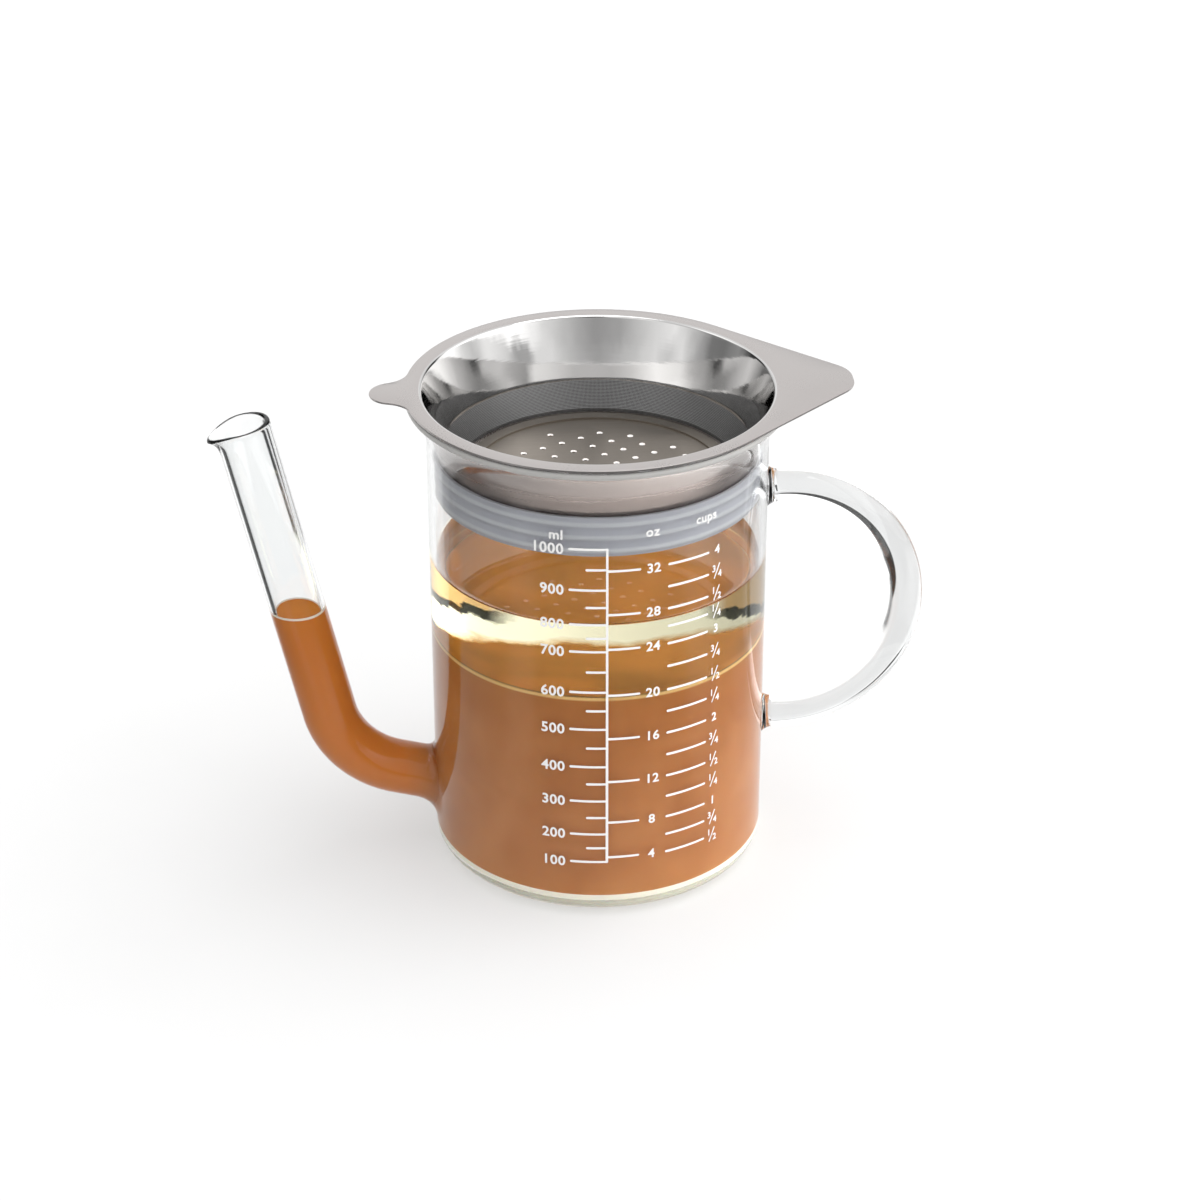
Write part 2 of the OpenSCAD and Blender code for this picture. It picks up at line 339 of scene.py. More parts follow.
def sweep(turn: float, steps: int, centre: Vector) -> None:
    """In edit mode, sweep the selected ring about a line along Y, so that +Z turns to +X.

    Args:
        turn: Turn in degrees; the operator counts it the other way round.
        steps: Number of steps.
        centre: A point on the line, in millimetres.
    """
    bpy.ops.mesh.spin(steps=steps, angle=-math.radians(turn), center=at(centre), axis=(0, 1, 0))


def shaped(piece: Piece, rule: Callable[[Vector], Vector]) -> Piece:
    """Move each point of a piece by hand, by a rule that works in millimetres.

    Args:
        piece: The piece to shape.
        rule: Where a point goes, by where it is.

    Returns:
        The same piece.
    """
    for vertex in piece.data.vertices:
        vertex.co = rule(vertex.co / MM) * MM
    piece.data.update()
    return piece


def smooth(piece: Piece) -> Piece:
    """Shade a piece smooth, apart from its sharp edges.

    Args:
        piece: The piece to shade.

    Returns:
        The same piece.
    """
    hold(piece)
    bpy.ops.object.shade_smooth_by_angle(angle=SMOOTH_ANGLE)
    return piece


# ---- Finishes ----


def node(
    tree: Tree, kind: str, inputs: dict[str | int, object] | None = None, **settings: object
) -> bpy.types.Node:
    """Add a node with its settings, and set or link its inputs.

    Args:
        tree: The node tree to add to.
        kind: Blender's name for the node, without its Shader prefix.
        inputs: Values to set or sources to link, by input name or number; a node gives its first output.
        **settings: The node's own settings.

    Returns:
        The new node.
    """
    made = tree.nodes.new("ShaderNode" + kind)
    for key, value in settings.items():
        setattr(made, key, value)
    for key, value in (inputs or {}).items():
        if isinstance(value, bpy.types.Node):
            value = next(output for output in value.outputs if output.enabled)
        if isinstance(value, bpy.types.NodeSocket):
            tree.links.new(value, made.inputs[key])
        else:
            made.inputs[key].default_value = value
    return made


def turn_from_front(tree: Tree, place: Source) -> Source:
    """The turn of a place or direction round the jug, in radians from the front towards the handle.

    Args:
        tree: The node tree to add to.
        place: The place or direction.

    Returns:
        The turn.
    """
    parts = node(tree, "SeparateXYZ", {0: place})
    front = node(tree, "Math", {0: parts.outputs["Y"], 1: -1.0}, operation="MULTIPLY")
    return node(tree, "Math", {0: parts.outputs["X"], 1: front}, operation="ARCTAN2")


def ring_ramp(tree: Tree, place: Source, stops: tuple[Point, ...], peak: float = 1.0) -> Source:
    """A brightness that changes with the direction round the jug.

    Args:
        tree: The node tree to add to.
        place: A place or a direction, seen from the jug's axis.
        stops: Turn in degrees from the front towards the handle, and the brightness there.
        peak: The brightness that the ramp's own 1 stands for.

    Returns:
        The brightness, as a share of the peak.
    """
    turn = turn_from_front(tree, place)
    share = node(tree, "MapRange", {"Value": turn, "From Min": -math.pi, "From Max": math.pi})
    made = node(tree, "ValToRGB", {"Fac": share})
    ramp = made.color_ramp
    while len(ramp.elements) < len(stops):
        ramp.elements.new(0.5)
    for element, (degrees, level) in zip(ramp.elements, stops):
        element.position = degrees / 360 + 0.5
        element.color = (*[level / peak] * 3, 1)
    return made


def axis_reach(tree: Tree, place: Source) -> Source:
    """How far a place is from the jug's axis."""
    flat = node(tree, "VectorMath", {0: place, 1: (1, 1, 0)}, operation="MULTIPLY")
    return node(tree, "VectorMath", {0: flat}, operation="LENGTH")


def all_of(tree: Tree, share: Source, *others: Source | float) -> Source:
    """What is left where several shares hold at once: their product.

    Args:
        tree: The node tree to add to.
        share: The first share.
        *others: The other shares.

    Returns:
        The product.
    """
    for other in others:
        share = node(tree, "Math", {0: share, 1: other}, operation="MULTIPLY")
    return share


def near(tree: Tree, height: Source, middle: Source | float, edge: Point) -> Source:
    """A soft band about a height.

    Args:
        tree: The node tree to add to.
        height: The height of the place that is seen.
        middle: The band's own height, in metres.
        edge: How far from the middle the band starts to fade and is gone, in millimetres.

    Returns:
        1 in the band and 0 beside it.
    """
    off = node(tree, "Math", {0: height, 1: middle}, operation="SUBTRACT")
    off = node(tree, "Math", {0: off}, operation="ABSOLUTE")
    fades, gone = (distance * MM for distance in edge)
    return node(tree, "MapRange", {"Value": off, "From Min": gone, "From Max": fades})


def window(tree: Tree, value: Source, rise: Point, fall: Point) -> Source:
    """A soft window on a length: 1 in it, and 0 before its rise and after its fall, in millimetres.

    Args:
        tree: The node tree to add to.
        value: The length.
        rise: Where it starts to open and is open.
        fall: Where it starts to close and is closed.

    Returns:
        The window.
    """
    after = node(tree, "MapRange", {"Value": value, "From Min": rise[0] * MM, "From Max": rise[1] * MM})
    before = node(tree, "MapRange", {"Value": value, "From Min": fall[1] * MM, "From Max": fall[0] * MM})
    return all_of(tree, after, before)


def facing_up(tree: Tree) -> Source:
    """How far the face that is seen looks up: 1 where it lies level, 0 upright and -1 from below."""
    return node(tree, "SeparateXYZ", {0: node(tree, "NewGeometry").outputs["True Normal"]}).outputs["Z"]


@dataclass(frozen=True)
class Finish:
    """A material, made from nodes. Each kind adds its own surface."""

    title: str = "plain"

    def surface(self, tree: Tree, place: Source) -> Source:
        """Build the surface shader; each finish has its own."""
        raise NotImplementedError

    def material(self) -> bpy.types.Material:
        """Make the material, once for each finish.

        Returns:
            The material.
        """
        if self.title in bpy.data.materials:
            return bpy.data.materials[self.title]
        made = bpy.data.materials.new(self.title)
        made.use_nodes = True
        tree = made.node_tree
        tree.nodes.clear()
        place = node(tree, "TexCoord").outputs["Object"]
        node(tree, "OutputMaterial", {"Surface": self.surface(tree, place)})
        return made

    def dress(self, piece: Piece) -> Piece:
        """Give a piece this finish all over.

        Args:
            piece: The piece to dress.

        Returns:
            The same piece.
        """
        material = self.material()
        if piece.material_slots:
            for slot in piece.material_slots:
                slot.link = "OBJECT"
                slot.material = material
        else:
            piece.data.materials.append(material)
        return piece


@dataclass(frozen=True)
class ClearFinish(Finish):
    """Something clear with slow waves in its surface."""

    ior: float = 1.45
    wave_mm: float = 30.0
    wave_depth_mm: float = 0.1

    def clear(self, tree: Tree, along: Source, colour: Source | tuple[float, ...]) -> Source:
        """The clear shader itself.

        Args:
            tree: The node tree to add to.
            along: The places that the waves follow.
            colour: What it tints the light that goes through.

        Returns:
            The shader.
        """
        waves = node(tree, "TexNoise", {"Vector": along, "Scale": 1 / (self.wave_mm * MM), "Detail": 1.0})
        bump = {"Height": waves, "Strength": 1.0, "Distance": self.wave_depth_mm * MM}
        inputs = {"Base Color": colour, "Roughness": 0.0, "IOR": self.ior, "Transmission Weight": 1.0}
        return node(tree, "BsdfPrincipled", {**inputs, "Normal": node(tree, "Bump", bump)})


@dataclass(frozen=True)
class BlownGlass(ClearFinish):
    """Borosilicate glass, blown and drawn by flame: clear, with soft waves along the draw, and its bead
    painted pale as painted light.
    """

    title: str = "borosilicate glass, flame polished"
    tint: str = "#FDFEFE"
    ior: float = 1.47
    wave_mm: float = 26.0
    wave_depth_mm: float = 0.05
    bead: str = "#EDEBE8"
    bead_z: float = 157.0
    bead_edge: Point = (0.68, 1.7)
    bead_start: Point = (56.1, 56.7)
    bead_end: Point = (62.0, 64.0)
    painted_bead_light_share: float = 0.48

    def surface(self, tree: Tree, place: Source) -> Source:
        """Build clear glass with a faint waviness of the drawn wall, and painted light on the bead at its
        rim.

        Args:
            tree: The node tree to add to.
            place: The place that is seen.

        Returns:
            The surface shader.
        """
        along = node(tree, "Mapping", {"Vector": place, "Scale": (1, 1, 0.3)})
        clear = self.clear(tree, along, linear(self.tint))
        # Painted light: a pale matt colour on the middle of the bead stands for the light that runs up inside
        # the wall and leaves there
        height = node(tree, "SeparateXYZ", {0: place}).outputs["Z"]
        bead = near(tree, height, self.bead_z * MM, self.bead_edge)
        rim = window(tree, axis_reach(tree, place), self.bead_start, self.bead_end)
        share = all_of(tree, bead, rim, self.painted_bead_light_share)
        pale = node(tree, "BsdfDiffuse", {"Color": linear(self.bead)})
        return node(tree, "MixShader", {0: share, 1: clear, 2: pale})


@dataclass(frozen=True)
class ClearFat(ClearFinish):
    """Melted fat: a clear liquid of pale gold; round its sides, as painted refraction, a dark streak for the
    dark parts of the room that they bend in, and a gold tint above it.
    """

    title: str = "melted fat, clear"
    colour: str = "#FDFAE3"
    gold: str = "#AA763C"
    dark: str = "#1D2009"
    ior: float = 1.46
    wave_mm: float = 30.0
    wave_depth_mm: float = 0.15
    rim_z: float = 104.5
    wisp_mm: float = 9.0
    wisp_stray: float = 3.5
    # Turns from the front, in radians, over which the streak comes in and sinks
    streak_starts: Point = (0.55, 0.78)
    streak_sinks: Point = (0.5, 1.5)
    # How deep it sinks at the spout's side and at the handle's
    streak_drops: Point = (11.5, 21.0)
    streak_edge: Point = (1.14, 1.9)
    painted_streak_share: float = 0.96
    wall_from: Point = (49.8, 50.5)
    front_from: Point = (2.0, -4.0)

    def streak_height(self, tree: Tree, place: Source, aside: Source) -> Source:
        """The height of the dark streak: it sinks away from the front and strays with the wisps.

        Args:
            tree: The node tree to add to.
            place: The place that is seen.
            aside: Its turn away from the front, to either side.

        Returns:
            The height, in metres.
        """
        start, full = self.streak_sinks
        sunk = node(tree, "MapRange", {"Value": aside, "From Min": start, "From Max": full})
        at_spout, at_handle = (-drop * MM for drop in self.streak_drops)
        side = node(tree, "SeparateXYZ", {0: place}).outputs["X"]
        drop = {"Value": side, "From Min": -MM, "From Max": MM, "To Min": at_spout, "To Max": at_handle}
        drop = node(tree, "MapRange", drop)
        middle = node(tree, "Math", {0: sunk, 1: drop, 2: self.rim_z * MM}, operation="MULTIPLY_ADD")
        wisps = node(tree, "Mapping", {"Vector": place, "Scale": (1, 1, 2.5)})
        wisps = node(tree, "TexNoise", {"Vector": wisps, "Scale": 1 / (self.wisp_mm * MM), "Detail": 3.0})
        stray = self.wisp_stray * MM
        stray = node(tree, "MapRange", {"Value": wisps, "To Min": -stray, "To Max": stray})
        return node(tree, "Math", {0: middle, 1: stray}, operation="ADD")

    def surface(self, tree: Tree, place: Source) -> Source:
        """Build a clear liquid with a slow swell, and a painted dark streak along its rim at both sides, for
        the dark parts of the room that they bend in.

        Args:
            tree: The node tree to add to.
            place: The place that is seen.

        Returns:
            The surface shader.
        """
        parts = node(tree, "SeparateXYZ", {0: place})
        aside = node(tree, "Math", {0: turn_from_front(tree, place)}, operation="ABSOLUTE")
        middle = self.streak_height(tree, place, aside)
        band = near(tree, parts.outputs["Z"], middle, self.streak_edge)
        above = node(tree, "Math", {0: parts.outputs["Z"], 1: middle}, operation="SUBTRACT")
        over = node(tree, "MapRange", {"Value": above, "From Max": MM})
        start, full = (x * MM for x in self.wall_from)
        wall = node(tree, "MapRange", {"Value": axis_reach(tree, place), "From Min": start, "From Max": full})
        start, full = (y * MM for y in self.front_from)
        ahead = node(tree, "MapRange", {"Value": parts.outputs["Y"], "From Min": start, "From Max": full})
        start, full = self.streak_starts
        begun = node(tree, "MapRange", {"Value": aside, "From Min": start, "From Max": full})
        on_side = all_of(tree, wall, ahead, begun)
        # Painted refraction: above the streak its sides are tinted gold, for the room that comes in gold
        # there
        painted_gold_tint = all_of(tree, on_side, over)
        tint = node(tree, "Mix", {0: painted_gold_tint, 6: linear(self.colour), 7: linear(self.gold)}, data_type="RGBA")
        clear = self.clear(tree, place, tint)
        # Painted refraction: a dark matt colour fills the streak, for the dark parts of the room that the
        # sides bend in
        share = all_of(tree, on_side, band, self.painted_streak_share)
        streak = node(tree, "BsdfDiffuse", {"Color": linear(self.dark)})
        return node(tree, "MixShader", {0: share, 1: clear, 2: streak})


@dataclass(frozen=True)
class Gravy(Finish):
    """Gravy: an opaque caramel emulsion, evenly cloudy, that mirrors light at a flat angle under the fat,
    with painted light and a painted glow on it.
    """

    title: str = "gravy, milky emulsion"
    dark: str = "#BC7A42"
    light: str = "#CB8B52"
    # Painted light: the level face's light cream, the spout's orange, both rims' highlights and the pale
    # underside
    cream: str = "#F2AC5A"
    painted_glow: str = "#D8843A"
    edge: str = "#FFD48C"
    painted_meniscus_light: str = "#FFF4E2"
    gold: str = "#C9923F"
    bright: str = "#FBF8EA"
    painted_foot_light: str = "#FBF7E6"
    cloud_mm: float = 24.0
    cloud_stops: Point = (0.3, 0.75)
    patch_mm: float = 34.0
    patch_fade: Point = (0.38, 0.62)
    patch_least: float = 0.35
    streak_mm: float = 14.0
    spout_from: Point = (-53.0, -63.0)
    jug_from: Point = (-51.5, -50.5)
    edge_z: float = 78.6
    edge_fade: Point = (0.35, 0.9)
    spout_rim_z: float = 86.0
    spout_rim_fade: Point = (0.3, 0.55)
    underside_z: float = 7.0
    painted_glow_strength: float = 0.34
    # How far the cream's edge strays in front of the axis and behind it
    cream_edge: Point = (-20.0, 10.0)
    cream_fade: Point = (-1.5, 1.5)
    bright_fade: Point = (-1.5, 7.0)
    # Facing shares between which the mirror under the fat takes over
    mirror_from: Point = (0.54, 0.64)

    def colours(self, tree: Tree, place: Source, level: Source, in_jug: Source) -> Source:
        """The gravy's colours: its own clouds, and painted light in the spout, on its rims, on its level face
        and under it.

        Args:
            tree: The node tree to add to.
            place: The place that is seen.
            level: 1 on faces that lie level.
            in_jug: 1 in the jug and 0 in the spout.

        Returns:
            The colour.
        """
        parts = node(tree, "SeparateXYZ", {0: place})
        height = parts.outputs["Z"]
        clouds = {"Vector": place, "Scale": 1 / (self.cloud_mm * MM), "Detail": 2.0, "Distortion": 0.6}
        clouds = node(tree, "TexNoise", clouds)
        shade = node(tree, "ValToRGB", {"Fac": clouds})
        tones = zip(shade.color_ramp.elements, self.cloud_stops, (self.dark, self.light))
        for element, position, colour in tones:
            element.position = position
            element.color = linear(colour)
        # Painted light: the gravy in the spout is painted deeper orange, for the light that comes through the
        # thin spout
        start, full = (x * MM for x in self.spout_from)
        in_spout = node(tree, "MapRange", {"Value": parts.outputs["X"], "From Min": start, "From Max": full})
        # Painted highlights: its rim, drawn up the glass, is painted gold in the jug and pale in the spout
        painted_jug_rim_light = all_of(tree, near(tree, height, self.edge_z * MM, self.edge_fade), in_jug)
        sheer = node(tree, "Math", {0: 1.0, 1: level}, operation="SUBTRACT")
        painted_spout_rim_light = near(tree, height, self.spout_rim_z * MM, self.spout_rim_fade)
        painted_spout_rim_light = all_of(tree, painted_spout_rim_light, in_spout, sheer)
        # Painted light: its underside, low in the jug, is painted pale, to show as the light seen in the
        # thick glass of the foot
        under = node(tree, "Math", {0: facing_up(tree), 1: -0.3}, operation="LESS_THAN")
        low = node(tree, "Math", {0: height, 1: self.underside_z * MM}, operation="LESS_THAN")
        # Painted light: the level face in the jug is painted a light cream, for the light that the strainer
        # above keeps off it
        layers = (
            (in_spout, self.painted_glow),
            (painted_jug_rim_light, self.edge),
            (painted_spout_rim_light, self.painted_meniscus_light),
            (all_of(tree, level, in_jug), self.cream),
            (all_of(tree, under, low), self.painted_foot_light),
        )
        colour = shade
        for share, over in layers:
            colour = node(tree, "Mix", {0: share, 6: colour, 7: linear(over)}, data_type="RGBA")
        return colour

    def painted_glow_patches(self, tree: Tree, place: Source, on_top: Source) -> Source:
        """A painted glow in soft patches of its level face, in the jug's shade, for the light scattered in
        it.

        Args:
            tree: The node tree to add to.
            place: The place that is seen.
            on_top: 1 on the level face in the jug.

        Returns:
            How strongly it glows.
        """
        patches = {"Vector": place, "Scale": 1 / (self.patch_mm * MM), "Detail": 1.0, "Distortion": 0.8}
        patches = node(tree, "TexNoise", patches)
        start, full = self.patch_fade
        patches = {"Value": patches, "From Min": start, "From Max": full, "To Min": self.patch_least}
        return all_of(tree, node(tree, "MapRange", patches), on_top, self.painted_glow_strength)

    def cream_gap(self, tree: Tree, place: Source) -> Source:
        """How far behind the cream's uneven edge a place lies, where the fat on the gravy is clear.

        Args:
            tree: The node tree to add to.
            place: The place that is seen.

        Returns:
            The distance in metres, below 0 under the cream.
        """
        streaks = node(tree, "Mapping", {"Vector": place, "Scale": (1, 0.5, 1)})
        cream = node(tree, "TexNoise", {"Vector": streaks, "Scale": 1 / (self.streak_mm * MM), "Detail": 3.0})
        front, back = (y * MM for y in self.cream_edge)
        edge = node(tree, "MapRange", {"Value": cream, "To Min": front, "To Max": back})
        depth = node(tree, "SeparateXYZ", {0: place}).outputs["Y"]
        return node(tree, "Math", {0: depth, 1: edge}, operation="SUBTRACT")

    def surface(self, tree: Tree, place: Source) -> Source:
        """Build a soft brown body with slow clouds of lighter cream, painted light and a painted glow, and
        the mirror under the fat.

        Args:
            tree: The node tree to add to.
            place: The place that is seen.

        Returns:
            The surface shader.
        """
        level = node(tree, "Math", {0: facing_up(tree), 1: 0.8}, operation="GREATER_THAN")
        start, full = (x * MM for x in self.jug_from)
        across = node(tree, "SeparateXYZ", {0: place}).outputs["X"]
        in_jug = node(tree, "MapRange", {"Value": across, "From Min": start, "From Max": full})
        on_top = all_of(tree, level, in_jug)
        # Glass and fat have nearly gravy's own index, so it does not shine under them
        body = node(
            tree,
            "BsdfPrincipled",
            {
                "Base Color": self.colours(tree, place, level, in_jug),
                "Roughness": 0.3,
                "IOR": 1.36,
                "Specular IOR Level": 0.0,
                "Subsurface Weight": 0.25,
                "Subsurface Radius": (0.9, 0.5, 0.25),
                "Subsurface Scale": 3 * MM,
                # Painted glow: the level face in the jug gives off a weak orange light in patches
                "Emission Color": linear(self.painted_glow),
                "Emission Strength": self.painted_glow_patches(tree, place, on_top),
            },
        )
        # Seen flatter than about 67 degrees from above, the clear fat mirrors in the gravy under it, where
        # no cream clouds it: from the middle of the jug to the back
        start, full = self.mirror_from
        slant = node(tree, "LayerWeight", {"Blend": 0.5}).outputs["Facing"]
        steep = {"Value": slant, "From Min": start, "From Max": full}
        steep = node(tree, "MapRange", steep, interpolation_type="SMOOTHSTEP")
        gap = self.cream_gap(tree, place)
        start, full = (y * MM for y in self.cream_fade)
        clear = node(tree, "MapRange", {"Value": gap, "From Min": start, "From Max": full})
        start, full = (y * MM for y in self.bright_fade)
        core = node(tree, "MapRange", {"Value": gap, "From Min": start, "From Max": full})
        hue = node(tree, "Mix", {0: core, 6: linear(self.gold), 7: linear(self.bright)}, data_type="RGBA")
        mirror = node(tree, "BsdfAnisotropic", {"Color": hue, "Roughness": 0.03})
        share = all_of(tree, steep, on_top, clear)
        return node(tree, "MixShader", {0: share, 1: body, 2: mirror})


@dataclass(frozen=True)
class Steel(Finish):
    """Stainless steel; each kind adds the marks of how it was worked."""

    colour: str = "#C0C0C0"
    roughness: Point = (0.3, 0.3)
    wear_range: Point = (0.0, 1.0)
    mark_strength: float = 1.0
    mark_depth_mm: float = 0.02

    def skin(self, tree: Tree, marks: Source, wear: Source | None, **others: object) -> Source:
        """The shader that all the steels share.

        Args:
            tree: The node tree to add to.
            marks: The height of the marks that the work left.
            wear: A pattern that roughens the skin; None leaves it even.
            **others: More inputs, with underscores for the spaces in their names.

        Returns:
            The shader.
        """
        low, high = self.roughness
        inputs = {"Base Color": linear(self.colour), "Metallic": 1.0, "Roughness": low}
        if wear is not None:
            start, full = self.wear_range
            rough = {"Value": wear, "From Min": start, "From Max": full, "To Min": low, "To Max": high}
            inputs["Roughness"] = node(tree, "MapRange", rough)
        bump = {"Height": marks, "Strength": self.mark_strength, "Distance": self.mark_depth_mm * MM}
        inputs["Normal"] = node(tree, "Bump", bump)
        inputs |= {name.replace("_", " "): value for name, value in others.items()}
        return node(tree, "BsdfPrincipled", inputs)


@dataclass(frozen=True)
class SatinSteel(Steel):
    """Stainless sheet, pressed and left satin: a fine even grain that blurs what it mirrors."""

    title: str = "stainless steel, satin"
    colour: str = "#C0BBB9"
    roughness: Point = (0.23, 0.37)
    wear_range: Point = (0.5, 1.5)
    mark_strength: float = 0.15
    grain_mm: float = 0.5
    wear_mm: float = 18.0

    def surface(self, tree: Tree, place: Source) -> Source:
        """Build satin steel; its grain of under a tenth of a millimetre is drawn coarser so that it shows.

        Args:
            tree: The node tree to add to.
            place: The place that is seen.

        Returns:
            The surface shader.
        """
        grain = node(tree, "TexNoise", {"Vector": place, "Scale": 1 / (self.grain_mm * MM), "Detail": 4.0})
        wear = node(tree, "TexNoise", {"Vector": place, "Scale": 1 / (self.wear_mm * MM), "Detail": 2.0})
        both = node(tree, "Math", {0: grain, 1: wear}, operation="ADD")
        return self.skin(tree, grain, both)


@dataclass(frozen=True)
class PolishedSteel(Steel):
    """Stainless sheet, spun and polished: a mirror with faint rings from the spinning tool."""

    title: str = "stainless steel, polished"
    colour: str = "#D9D8D7"
    roughness: Point = (0.02, 0.1)
    mark_strength: float = 0.8
    mark_depth_mm: float = 0.01
    ring_mm: float = 0.8

    def surface(self, tree: Tree, place: Source) -> Source:
        """Build polished steel with tool rings that follow the height.

        Args:
            tree: The node tree to add to.
            place: The place that is seen.

        Returns:
            The surface shader.
        """
        flat = node(tree, "Mapping", {"Vector": place, "Scale": (0.04, 0.04, 1)})
        rings = node(tree, "TexNoise", {"Vector": flat, "Scale": 1 / (self.ring_mm * MM), "Detail": 2.0})
        return self.skin(tree, rings, rings)


@dataclass(frozen=True)
class SpunSteel(Steel):
    """Stainless sheet as the spinning lathe leaves it: fine lines all round that smear what it mirrors."""

    title: str = "stainless steel, spun"
    colour: str = "#A49791"
    roughness: Point = (0.2, 0.45)
    wear_range: Point = (0.6, 1.4)
    line_mm: float = 0.45
    band_mm: float = 3.0

    def surface(self, tree: Tree, place: Source) -> Source:
        """Build spun steel, its lines drawn coarser than the real tenth of a millimetre so that they show.

        Args:
            tree: The node tree to add to.
            place: The place that is seen.

        Returns:
            The surface shader.
        """
        flat = node(tree, "Mapping", {"Vector": place, "Scale": (0.02, 0.02, 1)})
        lines = node(tree, "TexNoise", {"Vector": flat, "Scale": 1 / (self.line_mm * MM), "Detail": 3.0})
        bands = node(tree, "TexNoise", {"Vector": flat, "Scale": 1 / (self.band_mm * MM), "Detail": 2.0})
        both = node(tree, "Math", {0: lines, 1: bands}, operation="ADD")
        return self.skin(tree, both, both)


@dataclass(frozen=True)
class WovenMesh(Steel):
    """Fine stainless wire cloth: wires about 0.12 mm thick, drawn wider apart so that the weave shows, with
    painted shade between them.
    """

    title: str = "stainless wire cloth, plain weave"
    colour: str = "#919191"
    gap: str = "#1E1D1C"
    roughness: Point = (0.34, 0.34)
    mark_strength: float = 0.6
    mark_depth_mm: float = 0.12
    pitch_mm: float = 0.42
    mean_radius: float = 46.0
    # Where between its middle and its crest a wave becomes a wire
    wire_edge: Point = (-0.3, 0.8)

    def surface(self, tree: Tree, place: Source) -> Source:
        """Build the weave from two sets of wires, round the band and down it, with painted shade in the
        openings.

        Args:
            tree: The node tree to add to.
            place: The place that is seen.

        Returns:
            The surface shader.
        """
        parts = node(tree, "SeparateXYZ", {0: place})
        turn = node(tree, "Math", {0: parts.outputs["Y"], 1: parts.outputs["X"]}, operation="ARCTAN2")
        wires_round = float(round(math.tau * self.mean_radius / self.pitch_mm))
        wires_down = math.tau / (self.pitch_mm * MM)
        waves = []
        for along, count in ((turn, wires_round), (parts.outputs["Z"], wires_down)):
            angle = node(tree, "Math", {0: along, 1: count}, operation="MULTIPLY")
            waves.append(node(tree, "Math", {0: angle}, operation="SINE"))
        top = node(tree, "Math", {0: waves[0], 1: waves[1]}, operation="MAXIMUM")
        start, full = self.wire_edge
        wires = node(tree, "MapRange", {"Value": top, "From Min": start, "From Max": full})
        # Painted shade: the openings between the wires are painted near black
        shade = node(tree, "Mix", {0: wires, 6: linear(self.gap), 7: linear(self.colour)}, data_type="RGBA")
        return self.skin(tree, wires, None, Base_Color=shade)


@dataclass(frozen=True)
class BrushedPlate(Steel):
    """Perforated stainless plate, brushed in one direction, with painted light on the walls of its punched
    holes.
    """

    title: str = "stainless steel, brushed"
    colour: str = "#938C84"
    painted_hole_light: str = "#F2F0EE"
    roughness: Point = (0.28, 0.5)
    wear_range: Point = (0.6, 1.4)
    mark_strength: float = 0.4
    mark_depth_mm: float = 0.015
    punched_r: float = 34.5
    painted_hole_glow: float = 0.4
    line_mm: float = 0.35
    band_mm: float = 26.0
    brushed_turn: float = 0.5

    def hole_wall(self, tree: Tree, place: Source) -> Source:
        """1 on the walls of the punched holes, which stand upright within the holes' field.

        Args:
            tree: The node tree to add to.
            place: The place that is seen.

        Returns:
            The share.
        """
        tilt = node(tree, "Math", {0: facing_up(tree)}, operation="ABSOLUTE")
        upright = node(tree, "Math", {0: tilt, 1: 0.5}, operation="LESS_THAN")
        reach = axis_reach(tree, place)
        in_field = node(tree, "Math", {0: reach, 1: self.punched_r * MM}, operation="LESS_THAN")
        return all_of(tree, upright, in_field)

    def surface(self, tree: Tree, place: Source) -> Source:
        """Build brushed steel with long fine lines and slow bands across the plate.

        Args:
            tree: The node tree to add to.
            place: The place that is seen.

        Returns:
            The surface shader.
        """
        along = {"Vector": place, "Rotation": (0, 0, self.brushed_turn), "Scale": (0.03, 1, 1)}
        along = node(tree, "Mapping", along)
        lines = node(tree, "TexNoise", {"Vector": along, "Scale": 1 / (self.line_mm * MM), "Detail": 3.0})
        bands = node(tree, "TexNoise", {"Vector": place, "Scale": 1 / (self.band_mm * MM), "Detail": 1.0})
        both = node(tree, "Math", {0: lines, 1: bands}, operation="ADD")
        # Painted light: the hole walls are painted pale, not metal, and glow, for the light that comes up
        # through the holes
        wall = self.hole_wall(tree, place)
        shade = node(tree, "Mix", {0: wall, 6: linear(self.colour), 7: linear(self.painted_hole_light)}, data_type="RGBA")
        metal = node(tree, "Math", {0: 1.0, 1: wall}, operation="SUBTRACT")
        return self.skin(
            tree,
            lines,
            both,
            Base_Color=shade,
            Metallic=metal,
            Emission_Strength=all_of(tree, wall, self.painted_hole_glow),
            Anisotropic=0.5,
        )


